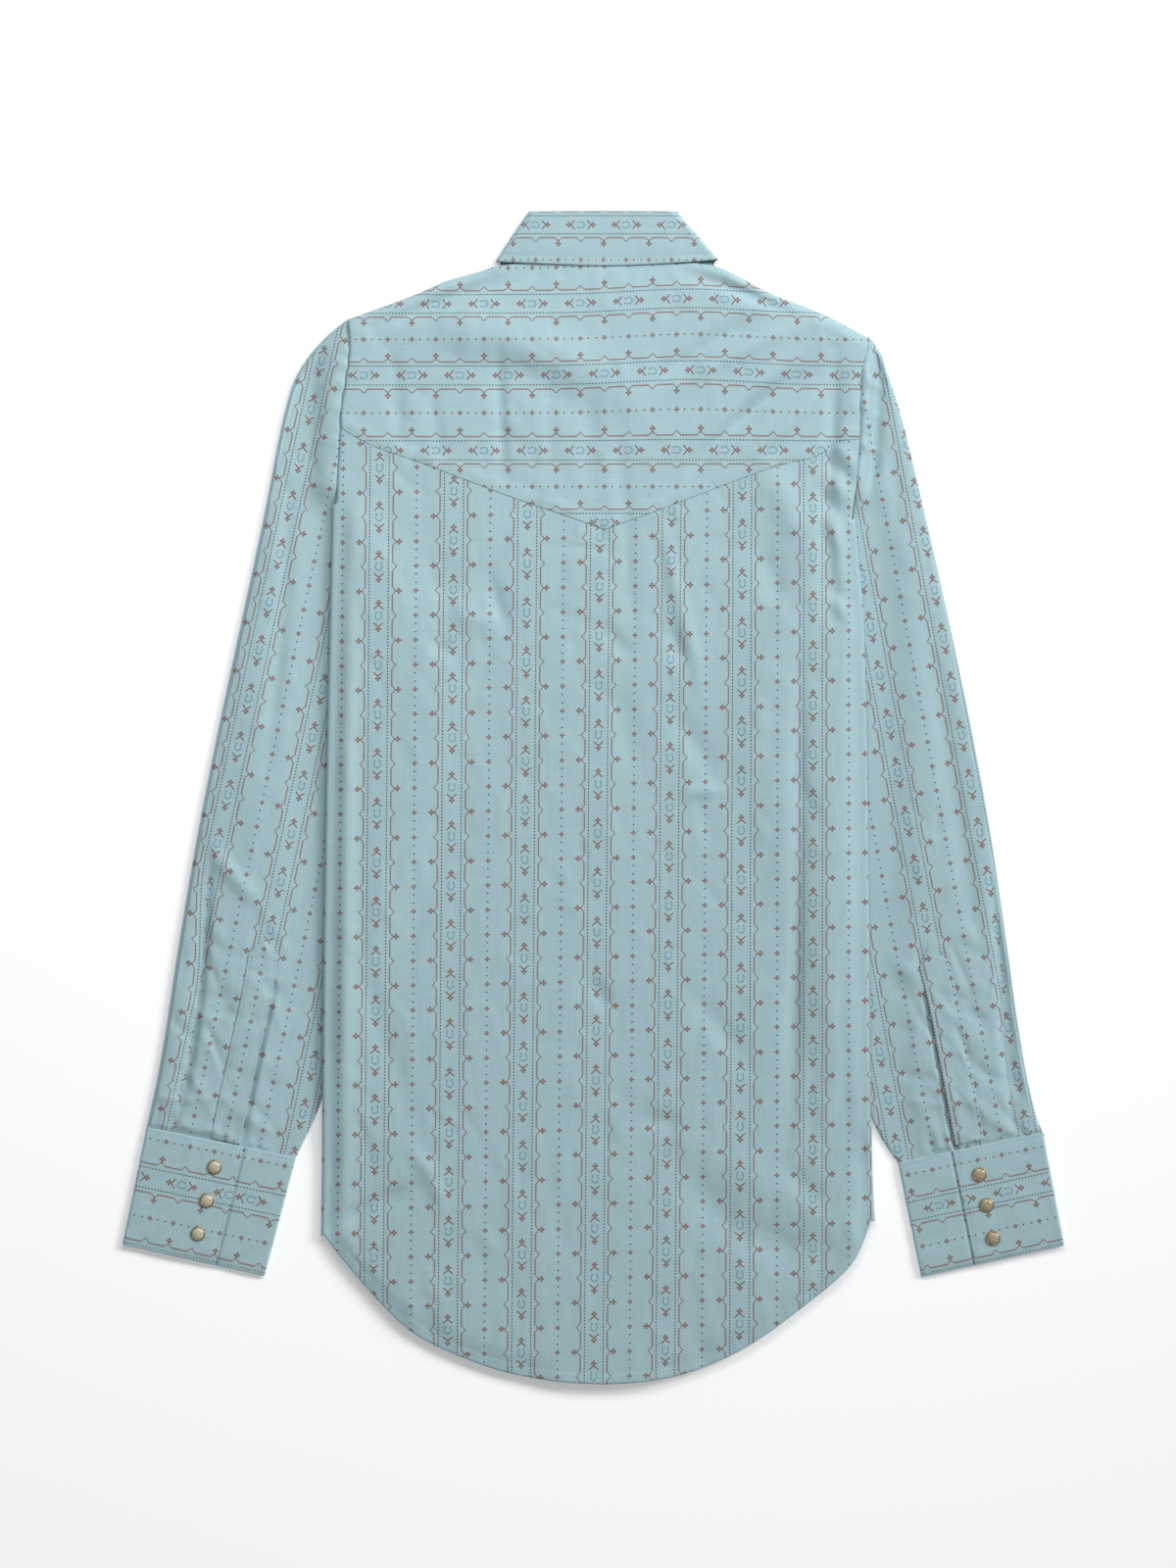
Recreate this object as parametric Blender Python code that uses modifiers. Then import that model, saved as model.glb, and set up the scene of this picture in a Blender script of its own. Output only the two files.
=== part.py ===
"""Western snap shirt, fastened, laid flat with its face down.

The cloth is built as walls through sections.  Lengths are in millimetres, X runs across the
shirt, Y up its back to the collar, and Z up from the surface that it lies on.  The origin is on
that surface, under the middle of the outline.  Left is the wearer's left.
"""
import bpy
import math
import numpy as np
from mathutils import Vector
from mathutils.bvhtree import BVHTree

MM = 0.001

# Cloth
WALL = 1.0           # one layer of shirting with the air in it
STIFF_WALL = 1.2     # collar leaf and cuffs, two layers over an interlining
SEAM = 0.3           # space between two pieces that are sewn together
LAY = 0.4            # space between layers that only lie on each other
LAYER = WALL + LAY
TURN_SLACK = 0.5     # more room inside a turned side

# Heights
SLEEVE_FLAT = 2.4    # sleeve pressed flat under the body
BODY_BED = 2.9       # underside of the body where it lies on a sleeve
NECK_BED = 1.6       # underside of the fronts where they lie on the collar points
SNAP_BED = 1.9       # underside of the placket where it lies on the snap caps
BACK_LEVEL = 8.8     # upper side of the back over the fronts
SIDE_LOFT = 2.6      # how much the back rises over the sleeves and the turned sides
EDGE_HEIGHT = 5.2    # thickness of the body at its turned edge
SHOULDER_EDGE = 2.4  # upper side of the yoke at the shoulder seam
NECK_EDGE = 5.6      # upper side of the yoke at the neck seam

# Body outline, as (x, y)
CENTRE_X = 8.0
EDGE_INSET = 2.6
HEM_LEFT = [(-197.2, -321.5), (-188.3, -334.5), (-163, -364), (-135, -393), (-103, -408.5), (-67, -422),
            (-25, -429.3), (8, -430.5)]
HEM_RIGHT = [(8, -430.5), (35, -429.4), (70, -423), (103, -409), (127, -394.5), (146, -380), (182, -352),
             (195, -335.5), (203.7, -311)]
SIDE_LEFT = [(-197.2, -321.5), (-196.5, -264), (-195.8, -134), (-193.6, 10), (-191, 120), (-188.6, 215)]
SIDE_RIGHT = [(203.7, -311), (201.5, -264), (200.1, -134), (198.6, 10), (196.5, 125), (192.2, 175),
              (189.3, 204)]
BLADE_LEFT = [(-188.6, 215), (-132, 212), (8, 168)]
BLADE_RIGHT = [(8, 168), (140, 206), (189.3, 204)]
YOKE_SEAM_LEFT = [(-185.7, 271.6), (-165, 258.5), (-132, 247.5), (8, 196.4)]
YOKE_SEAM_RIGHT = [(8, 196.4), (140.8, 244.9), (161.6, 249), (183.6, 262), (195.5, 262.7)]
ARMHOLE_LEFT_LOW = [(-188.6, 215), (-187.4, 243), (-185.7, 271.6)]
ARMHOLE_RIGHT_LOW = [(189.3, 204), (193, 230), (195.5, 262.7)]
ARMHOLE_LEFT_HIGH = [(-185.7, 271.6), (-185.4, 286), (-181.8, 305), (-178.4, 330), (-180.4, 351)]
ARMHOLE_RIGHT_HIGH = [(195.5, 262.7), (196.2, 293), (197, 314), (201.5, 330), (203, 337)]
SHOULDER_LEFT = [(-180.4, 351), (-128, 370), (-111, 378.6), (-81, 386.8), (-68, 391), (8, 397.5)]
SHOULDER_RIGHT = [(8, 397.5), (84, 392.2), (99, 386.4), (114, 378.6), (129, 370), (168, 355.5), (203, 337)]
NECKLINE_LEFT = [(-68, 389), (-52, 369), (-24, 350), (8, 344), (26, 345.5)]
NECKLINE_RIGHT = [(-10, 345.5), (8, 344), (40, 350), (68, 369), (84, 390)]
FRONT_ARMHOLE_LEFT = [(-188.6, 215), (-186.8, 243), (-184.8, 275), (-180.6, 305), (-177.2, 330),
                      (-179.2, 348.5)]
FRONT_ARMHOLE_RIGHT = [(189.3, 204), (192.3, 230), (194.8, 262), (195.4, 293), (196, 314), (201.5, 334.5)]
FRONT_SHOULDER_LEFT = [(-179.2, 348.5), (-128, 368), (-111, 376.6), (-81, 384.8), (-68, 389)]
FRONT_SHOULDER_RIGHT = [(84, 390), (99, 384.5), (129, 368), (168, 353.5), (201.5, 334.5)]
FRONT_RISE = 12      # how much shorter the fronts are than the back

# The sides turned under, to the side seam
TURNED = 53.4        # width turned under
STRIP_HEM_RISE = 58  # the hem rises towards the side seam
UNDERARM_DROP = 80   # the armhole falls towards the side seam
ARMHOLE_CURVE = 0.75

# Edges under the body as (y, x): the sleeves' inner edges, and the side seams with the armholes above them
TUCK_LEFT = [(-264, -218.5), (-224, -199), (-180, -188), (-100, -165), (0, -136), (40, -124), (70, -122),
             (100, -128), (135, -137), (175, -160), (215, -191), (285, -262)]
TUCK_RIGHT = [(-268, 223.6), (-240, 204), (-185, 192), (-105, 169), (-5, 140), (35, 128), (62, 126),
              (92, 132), (125, 141), (165, 163), (204, 192), (275, 262)]
SEAM_LEFT = [(-322, -200), (-262, -143), (135, -137), (154, -153), (180, -172), (215, -191), (285, -262)]
SEAM_RIGHT = [(-312, 206), (-252, 148), (125, 142), (144, 155), (170, 174), (204, 192), (275, 262)]

# Largest folds of the back: three points of the fold's line, its half width and its rise
#        x0    y0   x1    y1   x2    y2  half  rise
FOLDS = [(-126, 348, -62, 338, 12, 300, 15, 2.4),
         (-130, 331, -74, 320, -30, 312, 14, -1.2),
         (-70, 330, -68, 280, -65, 232, 6, -1.8),
         (-3, 300, -2, 255, -1, 212, 9, -0.9),
         (61, 302, 92, 342, 140, 362, 9, -1.9),
         (90, 300, 130, 335, 185, 330, 12, 1.5),
         (54, 219, 95, 268, 176, 330, 8, -1.5),
         (180, 335, 178, 270, 170, 165, 7, -2.6),
         (134, 232, 155, 215, 168, 190, 14, 2.2),
         (122, 185, 134, 160, 146, 120, 9, -1.6),
         (156, 150, 151, 10, 144, -262, 7, -2.4),
         (172, 60, 172, -60, 168, -220, 15, 1.4),
         (-170, 85, -173, -60, -168, -120, 9, -1.3),
         (-178, -115, -148, -190, -119, -280, 8, -1.3),
         (-187, -316, -162, -302, -134, -285, 8, -2.0),
         (46, 211, 64, 140, 80, 80, 8, 2.0),
         (66, 84, 82, 55, 106, 40, 9, -1.8),
         (68, -262, 92, -322, 176, -331, 11, -2.4),
         (82, -258, 125, -290, 165, -312, 16, 1.7),
         (70, -140, 92, -165, 112, -192, 9, -1.0)]

FOLD_STRENGTH = 1.35

# Sleeves: guide lines from armhole to cuff, as (x, y)
OUTER_LEFT = [(-181.6, 350.4), (-194, 341), (-207, 326.7), (-217, 312.3), (-222.8, 298), (-230, 269),
              (-240.5, 212), (-253.1, 154), (-284, 10), (-302, -91), (-317, -192), (-326, -233),
              (-328, -242)]
EDGE_LEFT = [(-189.3, 216.2), (-192.6, 209), (-195, 150), (-197.8, 10), (-201, -100), (-206, -165),
             (-215, -224), (-238.2, -260.3)]
INNER_LEFT = [(-137, 131), (-128, 100), (-122, 70), (-124, 40), (-136, 0), (-165, -100), (-188, -180),
              (-199, -224), (-218.5, -264.2)]
OUTER_RIGHT = [(204, 336.5), (211.3, 326.7), (215.6, 312.3), (220.7, 298), (229.3, 269), (242.5, 212),
               (256, 154), (286.2, 10), (301.3, -91), (315, -192), (325, -235), (330, -245.5)]
EDGE_RIGHT = [(190.1, 205.2), (193.8, 197), (197.5, 165), (201.6, 120), (203.4, 10), (205.4, -100),
              (209, -165), (220, -230), (242.8, -263.8)]
INNER_RIGHT = [(141, 121), (132, 92), (126, 62), (128, 35), (140, -5), (169, -105), (192, -185),
               (204, -240), (223.6, -268)]
SEAM_TOP_LEFT = [(-181.6, 350.4), (-179.4, 330), (-182.7, 305), (-186.2, 286), (-186.5, 271.6),
                 (-188.2, 243), (-189.3, 216.2)]
SEAM_TOP_RIGHT = [(204, 336.5), (202.4, 330), (197.9, 314), (197, 293), (196.3, 262.7), (193.8, 230),
                  (190.1, 205.2)]
UNDER_SEAM_LEFT = [(-189.3, 216.2), (-171.5, 178), (-153, 151), (-137, 131)]
UNDER_SEAM_RIGHT = [(190.1, 205.2), (174, 167), (156, 140), (141, 121)]

# Rings of a sleeve, as shares of each guide line's length, and how far the upper side is puffed up
#        outer  edge  inner  puff
RINGS = [(0.000, 0.000, 0.000, 4.6), (0.040, 0.006, 0.006, 4.4), (0.090, 0.013, 0.014, 4.0),
         (0.150, 0.022, 0.026, 3.6), (0.215, 0.035, 0.042, 3.4), (0.280, 0.070, 0.067, 3.2),
         (0.350, 0.165, 0.105, 3.0), (0.420, 0.255, 0.170, 3.0), (0.490, 0.345, 0.250, 3.2),
         (0.560, 0.435, 0.340, 3.2), (0.630, 0.520, 0.430, 3.0), (0.700, 0.610, 0.530, 3.0),
         (0.770, 0.700, 0.630, 3.2), (0.840, 0.790, 0.740, 3.4), (0.900, 0.870, 0.840, 3.6),
         (0.950, 0.935, 0.920, 3.0), (1.000, 1.000, 1.000, 1.6)]
SLEEVE_EDGE = 2.1    # radius of a sleeve's outer edge

# Folds on the sleeves
SLEEVE_FOLDS = [(-206, 330, -203, 310, -207, 290, 8, -1.2),
                (-223, 262, -226, 150, -240, 20, 7, -1.6),
                (-280, -48, -296, -150, -304, -238, 8, -1.8),
                (-281, -38, -262, -60, -245, -80, 6, 1.3),
                (-262, -150, -276, -170, -292, -178, 6, -1.0),
                (212, 300, 213, 270, 222, 200, 7, -1.2),
                (245, 140, 262, 20, 283, -115, 9, -1.6),
                (301, -132, 304, -190, 309, -244, 8, -1.8),
                (205, -108, 222, -122, 238, -135, 6, 1.3),
                (240, -165, 222, -180, 208, -182, 6, -1.0)]

# Cuffs: corners of the band, the end that laps over, and the snaps down it
CUFF_GAP = 0.5
CUFF_LEFT = [(-328, -242), (-218.5, -264.2), (-345.8, -328.4), (-241.6, -351.4)]
CUFF_RIGHT = [(330, -245.5), (223.6, -268), (345.8, -328.8), (240.8, -352)]
LAP_LEFT = 0.65      # share of the cuff's width, from its outer edge, where the lapped end stops
LAP_RIGHT = 0.625
UNDERLAP = 0.23      # how far the other end goes on beneath
CUFF_TOP = 2 * LAY + 3 * STIFF_WALL
SNAPS_LEFT = [(-278.1, -271.2), (-283.7, -295.8), (-290.2, -320.2)]
SNAPS_RIGHT = [(283.3, -276.6), (288.6, -299), (293.4, -323.4)]

# Snap caps
CAP_RADIUS = 5.35
CAP_HEIGHT = 2.3
CAP_PROFILE = [(0.0002, 1), (0.45, 0.93), (0.78, 0.68), (0.86, 0.55), (0.97, 0.42), (1, 0), (0.0002, 0)]
FRONT_CAP_HEIGHT = 1.6
FRONT_SNAPS_Y = [358, 300, 190, 80, -30, -140, -250]

# Sleeve plackets: a line down the middle from the cuff to the point
PLACKET_LEFT = [(-270.5, -253), (-260.5, -205), (-251.5, -165), (-245.7, -138), (-240.6, -103.6)]
PLACKET_RIGHT = [(276, -253.5), (265.2, -195), (256, -146), (248.5, -119), (246.6, -109.6)]
PLACKET_HALF = 10.8
POINT_LENGTH = 13
PLACKET_LIFT = 0.5

# Front placket
FRONT_PLACKET_HALF = 18

# Collar: plan points of the leaf as (x, y)
LEAF_ROLL_FRONT = [(4, 373), (-22, 392), (-47.5, 430.1)]
LEAF_EDGE_FRONT = [(-42, 305), (-58, 345), (-72.4, 393)]
LEAF_ROLL_BACK = [(-47.5, 430.1), (5, 430.5), (61, 430.1)]
LEAF_EDGE_BACK = [(-72.4, 393), (-30, 391.6), (8, 390.2), (50, 391.8), (90, 393.5)]
LEAF_TOP_ROLL = 10.4
LEAF_TOP_EDGE = 8.7
ROLL_RADIUS = 1.4
STAND_TOP = 8.0

CLOTH_COLOUR = (0.30, 0.45, 0.48)
YOKE_COLOUR = (0.31, 0.46, 0.49)
TRIM_COLOUR = (0.28, 0.42, 0.46)
PEARL_COLOUR = (0.55, 0.42, 0.31)


# ---------------------------------------------------------------- lines and fields

def spaced(points, count):
    """Points spread evenly by length along the line through a table's points."""
    line = np.array(points, dtype=float)
    steps = np.hypot(*np.diff(line, axis=0)[:, :2].T)
    along = np.concatenate([[0.0], np.cumsum(steps)])
    shares = np.atleast_1d(count) if np.ndim(count) else np.linspace(0, 1, count)
    return np.stack([np.interp(shares * along[-1], along, line[:, k]) for k in range(line.shape[1])], axis=1)


def rounded(points, passes=2):
    """The table's line with its corners cut, ends kept."""
    line = np.array(points, dtype=float)
    for _ in range(passes):
        near, far = line[:-1] * 0.75 + line[1:] * 0.25, line[:-1] * 0.25 + line[1:] * 0.75
        inner = np.stack([near, far], axis=1).reshape(-1, line.shape[1])[1:-1]
        line = np.concatenate([line[:1], inner, line[-1:]])
    return line


def ramp(value):
    """0 below 0, 1 above 1, and smooth in between."""
    t = np.clip(value, 0, 1)
    return t * t * (3 - 2 * t)


def patch(bottom, top, left, right):
    """Grid of plan points inside four border lines, rows from bottom to top."""
    v = np.linspace(0, 1, len(left))[:, None, None]
    u = np.linspace(0, 1, len(bottom))[None, :, None]
    across = (1 - v) * bottom[None] + v * top[None]
    along = (1 - u) * left[:, None] + u * right[:, None]
    corners = ((1 - u) * (1 - v) * bottom[0] + u * (1 - v) * bottom[-1]
               + (1 - u) * v * top[0] + u * v * top[-1])
    return across + along - corners


def edge_x(table, y):
    rows = np.array(table, dtype=float)
    return np.interp(y, rows[:, 0], rows[:, 1])


def beyond(x, y, left, right, flat, slope):
    """1 outside the two edge lines and `flat` inside them, falling to 0 over `slope`."""
    from_left = (edge_x(left, y) + flat + slope - x) / slope
    from_right = (x - edge_x(right, y) + flat + slope) / slope
    return ramp(np.maximum(from_left, from_right))


def fold_relief(folds, x, y):
    """Height of the folds in a table: each a soft ridge or trough along a curve."""
    total = np.zeros_like(x)
    for x0, y0, x1, y1, x2, y2, half, rise in folds:
        best = np.full_like(x, 1e9)
        share = np.zeros_like(x)
        for t in np.linspace(0, 1, 13):
            px = (1 - t) * (1 - 2 * t) * x0 + 4 * t * (1 - t) * x1 + t * (2 * t - 1) * x2
            py = (1 - t) * (1 - 2 * t) * y0 + 4 * t * (1 - t) * y1 + t * (2 * t - 1) * y2
            gap = (x - px) ** 2 + (y - py) ** 2
            share = np.where(gap < best, t, share)
            best = np.minimum(best, gap)
        fade = 0.35 + 0.65 * np.sin(math.pi * share) ** 0.6
        total += rise * fade * np.exp(-best / half ** 2)
    return total


def body_bed(x, y):
    """Height of the lowest body layer's underside: it lies on sleeves and collar points."""
    sleeves = BODY_BED * beyond(x, y, TUCK_LEFT, TUCK_RIGHT, 5, 24)
    neck = NECK_BED * ramp((y - 285) / 18) * ramp((105 - np.abs(x - CENTRE_X)) / 20)
    return np.maximum(sleeves, neck)


def snap_bed(y):
    return SNAP_BED * ramp((y - FRONT_SNAPS_Y[-1] + 145) / 110)


def front_under(x, y, left_side):
    """Underside of a front: over the turned strips at the sides, over the placket at the centre."""
    strips = (2 * LAYER + TURN_SLACK) * beyond(x, y, SEAM_LEFT, SEAM_RIGHT, 14, 26)
    inward = (x - CENTRE_X) if left_side else (CENTRE_X - x)
    centre = ramp((inward + FRONT_PLACKET_HALF + 42) / 30) * ramp((FRONT_PLACKET_HALF + 30 - inward) / 25)
    lift = snap_bed(y) + (LAYER if left_side else 2 * LAYER)
    return body_bed(x, y) + strips + centre * lift


def back_top(x, y):
    """Upper side of the back, yoke and panel."""
    bed = body_bed(x, y)
    side = beyond(x, y, TUCK_LEFT, TUCK_RIGHT, 0, 40)
    level = BACK_LEVEL + SIDE_LOFT * side + FOLD_STRENGTH * fold_relief(FOLDS, x, y)
    tops = [front_under(x, y, True), front_under(x, y, False)]
    least = np.maximum(*tops) + 2 * WALL + 3 * LAY
    outline_left = edge_x([(p[1], p[0]) for p in SIDE_LEFT], y)
    outline_right = edge_x([(p[1], p[0]) for p in SIDE_RIGHT], y)
    inset = np.minimum(x - outline_left, outline_right - x)
    turned = ramp((235 - y) / 30)
    rounding = (1 - ramp(inset / 18)) * turned
    level = level * (1 - rounding) + (bed + EDGE_HEIGHT) * rounding
    hem = hem_distance(x, y)
    level = level - (level - 4.6) * 0.75 * (1 - ramp(hem / 26)) * (np.abs(x - CENTRE_X) > 45)
    return np.maximum(level, np.minimum(least, level + 3))


def hem_distance(x, y):
    """Distance of a point above the back hem, along Y."""
    hem = np.array(HEM_LEFT + HEM_RIGHT[1:], dtype=float)
    return y - np.interp(x, hem[:, 0], hem[:, 1])


def yoke_top(x, y):
    """Upper side of the yoke, brought down at the shoulders and the neck."""
    edge = np.array(SHOULDER_LEFT + SHOULDER_RIGHT[1:], dtype=float)
    inside = np.interp(x, edge[:, 0], edge[:, 1]) - y
    neck = ramp((92 - np.abs(x - CENTRE_X)) / 12)
    rim = NECK_EDGE * neck + (SHOULDER_EDGE + body_bed(x, y)) * (1 - neck)
    reach = 45 * neck + 11 * (1 - neck)
    drop = 1 - np.sqrt(np.clip(1 - (1 - np.clip(inside / reach, 0, 1)) ** 2, 0, 1))
    return back_top(x, y) * (1 - drop) + rim * drop


# ---------------------------------------------------------------- objects

def clear_scene():
    for thing in list(bpy.data.objects):
        bpy.data.objects.remove(thing, do_unlink=True)


def make_material(name, colour, roughness=0.85, metallic=0.0):
    material = bpy.data.materials.new(name)
    material.use_nodes = True
    shader = material.node_tree.nodes["Principled BSDF"]
    shader.inputs["Base Color"].default_value = (*colour, 1)
    shader.inputs["Roughness"].default_value = roughness
    shader.inputs["Metallic"].default_value = metallic
    return material


def place(name, mesh, colour, roughness=0.85, metallic=0.0):
    mesh.materials.append(make_material(name, colour, roughness, metallic))
    item = bpy.data.objects.new(name, mesh)
    bpy.data.collections["western_snap_shirt"].objects.link(item)
    mesh.shade_smooth()
    return item


def wall(name, grid, thickness, colour, tube=False, flip=False):
    """A wall of cloth: an open surface through a grid of sections, given thickness inwards.

    Rows of the grid are sections, and a missing point (nan) leaves its faces out.
    """
    rows, columns = grid.shape[:2]
    there = ~np.isnan(grid[:, :, 0])
    number = -np.ones((rows, columns), dtype=int)
    number[there] = np.arange(there.sum())
    faces = []
    for i in range(rows - 1):
        for j in range(columns if tube else columns - 1):
            k = (j + 1) % columns
            ring = [number[i, j], number[i, k], number[i + 1, k], number[i + 1, j]]
            if min(ring) >= 0:
                faces.append([int(n) for n in (ring[::-1] if flip else ring)])
    mesh = bpy.data.meshes.new(name)
    mesh.from_pydata((grid[there] * MM).tolist(), [], faces)
    item = place(name, mesh, colour)
    thick = item.modifiers.new("Thickness", "SOLIDIFY")
    thick.thickness = thickness * MM
    thick.offset = -1
    return item


def turned_edge(sheet, blade_row, outward, under_z):
    """Columns that turn under at a side: an arc at the edge, then a strip to the side seam.

    `sheet` is the edge column of the upper sheet, as (x, y, z) a row, `outward` is -1 on the left
    and 1 on the right.  Rows above the armhole have no turned cloth.
    """
    rows = len(sheet)
    arc_angles = np.radians([45, 90, 135])
    strip = np.linspace(0, TURNED, 5)
    columns = np.full((rows, len(arc_angles) + len(strip), 3), np.nan)
    low, high = sheet[0, 1], sheet[blade_row, 1]
    for i in range(blade_row + 1):
        x, y, z = sheet[i]
        share = (y - low) / (high - low)
        beneath = under_z(np.array([x]), np.array([y]))[0]
        radius, middle = (z - beneath) / 2, (z + beneath) / 2
        for k, angle in enumerate(arc_angles):
            columns[i, k] = (x + outward * radius * math.sin(angle), y, middle + radius * math.cos(angle))
        for k, inward in enumerate(strip):
            y_low = low + STRIP_HEM_RISE * inward / TURNED
            y_high = high - UNDERARM_DROP * (inward / TURNED) ** ARMHOLE_CURVE
            px, py = x - outward * inward, y_low + (y_high - y_low) * share
            columns[i, len(arc_angles) + k] = (px, py, under_z(np.array([px]), np.array([py]))[0])
    return columns


def with_height(plan, height):
    return np.dstack([plan, height(plan[:, :, 0], plan[:, :, 1])])


# ---------------------------------------------------------------- body

HALF_COLUMNS = 18
LOW_ROWS = 20
FRONT_COLUMNS = [0, 0.11, 0.228, 0.367, 0.53, 0.693, 0.814, 0.907, 1]    # shares from side to centre
BLADE_ROWS = 4


def halves(left, right, count=HALF_COLUMNS + 1):
    """A border across the body, with a point at the centre."""
    return np.concatenate([spaced(left, count), spaced(right, count)[1:]])


def build_back_panel():
    low = patch(halves(rounded(HEM_LEFT), rounded(HEM_RIGHT)), halves(BLADE_LEFT, BLADE_RIGHT),
                spaced(SIDE_LEFT, LOW_ROWS), spaced(SIDE_RIGHT, LOW_ROWS))
    high = patch(halves(BLADE_LEFT, BLADE_RIGHT), halves(YOKE_SEAM_LEFT, YOKE_SEAM_RIGHT),
                 spaced(ARMHOLE_LEFT_LOW, BLADE_ROWS), spaced(ARMHOLE_RIGHT_LOW, BLADE_ROWS))
    high[-1, :, 1] -= 1.3 * SEAM
    sheet = with_height(np.concatenate([low, high[1:]]), back_top)
    left = turned_edge(sheet[:, 0], LOW_ROWS - 1, -1, body_bed)
    right = turned_edge(sheet[:, -1], LOW_ROWS - 1, 1, body_bed)
    return wall("back_panel", np.concatenate([left[:, ::-1], sheet, right], axis=1), WALL, CLOTH_COLOUR)


def build_back_yoke():
    rows = 11
    plan = patch(halves(YOKE_SEAM_LEFT, YOKE_SEAM_RIGHT), halves(SHOULDER_LEFT, SHOULDER_RIGHT),
                 spaced(ARMHOLE_LEFT_HIGH, rows), spaced(ARMHOLE_RIGHT_HIGH, rows))
    return wall("back_yoke", with_height(plan, yoke_top), WALL, YOKE_COLOUR)


def front_hem(points):
    return [(x, y + FRONT_RISE * ramp((188 - abs(x)) / 60)) for x, y in rounded(points)]


def build_fronts():
    columns = np.array(FRONT_COLUMNS)
    low_rows, high_rows = LOW_ROWS, 6
    reach = FRONT_PLACKET_HALF

    def strip_under(x, y):
        return body_bed(x, y) + LAYER

    left_end, right_end = CENTRE_X + reach, CENTRE_X - reach
    hem_left = front_hem(HEM_LEFT)[:-1] + [(left_end, HEM_LEFT[-1][1] + FRONT_RISE)]
    blade_left = spaced([(-188.6, 215), (left_end, 205)], columns)
    low = patch(spaced(hem_left, columns), blade_left, spaced(SIDE_LEFT, low_rows),
                spaced([hem_left[-1], (left_end, 205)], low_rows))
    top = spaced(FRONT_SHOULDER_LEFT + NECKLINE_LEFT[1:], columns)
    high = patch(blade_left, top, spaced(FRONT_ARMHOLE_LEFT, high_rows),
                 spaced([(left_end, 205), NECKLINE_LEFT[-1]], high_rows))
    sheet = with_height(np.concatenate([low, high[1:]]), lambda x, y: front_under(x, y, True) + WALL)
    side = turned_edge(sheet[:, 0], low_rows - 1, -1, strip_under)
    left = wall("front_left", np.concatenate([side[:, ::-1], sheet], axis=1), WALL, CLOTH_COLOUR)

    columns = 1 - columns[::-1]
    hem_right = [(right_end, HEM_LEFT[-1][1] + FRONT_RISE)] + front_hem(HEM_RIGHT)[1:]
    blade_right = spaced([(right_end, 200), (189.3, 204)], columns)
    low = patch(spaced(hem_right, columns), blade_right, spaced([hem_right[0], (right_end, 200)], low_rows),
                spaced(SIDE_RIGHT, low_rows))
    top = spaced(NECKLINE_RIGHT + FRONT_SHOULDER_RIGHT[1:], columns)
    high = patch(blade_right, top, spaced([(right_end, 200), NECKLINE_RIGHT[0]], high_rows),
                 spaced(FRONT_ARMHOLE_RIGHT, high_rows))
    sheet = with_height(np.concatenate([low, high[1:]]), lambda x, y: front_under(x, y, False) + WALL)
    side = turned_edge(sheet[:, -1], low_rows - 1, 1, strip_under)
    right = wall("front_right", np.concatenate([sheet, side], axis=1), WALL, CLOTH_COLOUR)
    return left, right


def build_front_placket():
    low_y, high_y = HEM_LEFT[-1][1] + FRONT_RISE + 2, 340
    xs = np.linspace(CENTRE_X - FRONT_PLACKET_HALF, CENTRE_X + FRONT_PLACKET_HALF - 0.5, 4)
    ys = np.linspace(low_y, high_y, 14)
    plan = np.stack(np.meshgrid(xs, ys), axis=2)
    return wall("front_placket", with_height(plan, lambda x, y: snap_bed(y) + WALL), WALL, TRIM_COLOUR)


# ---------------------------------------------------------------- sleeves

VISIBLE = 8
HIDDEN = 3


def squareness(direction, guide, i):
    """How squarely a ring meets its guide line: the sine of the angle between them."""
    step = guide[min(i + 1, len(guide) - 1)] - guide[max(i - 1, 0)]
    step = step / np.linalg.norm(step)
    return max(0.5, abs(direction[0] * step[1] - direction[1] * step[0]))


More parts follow.
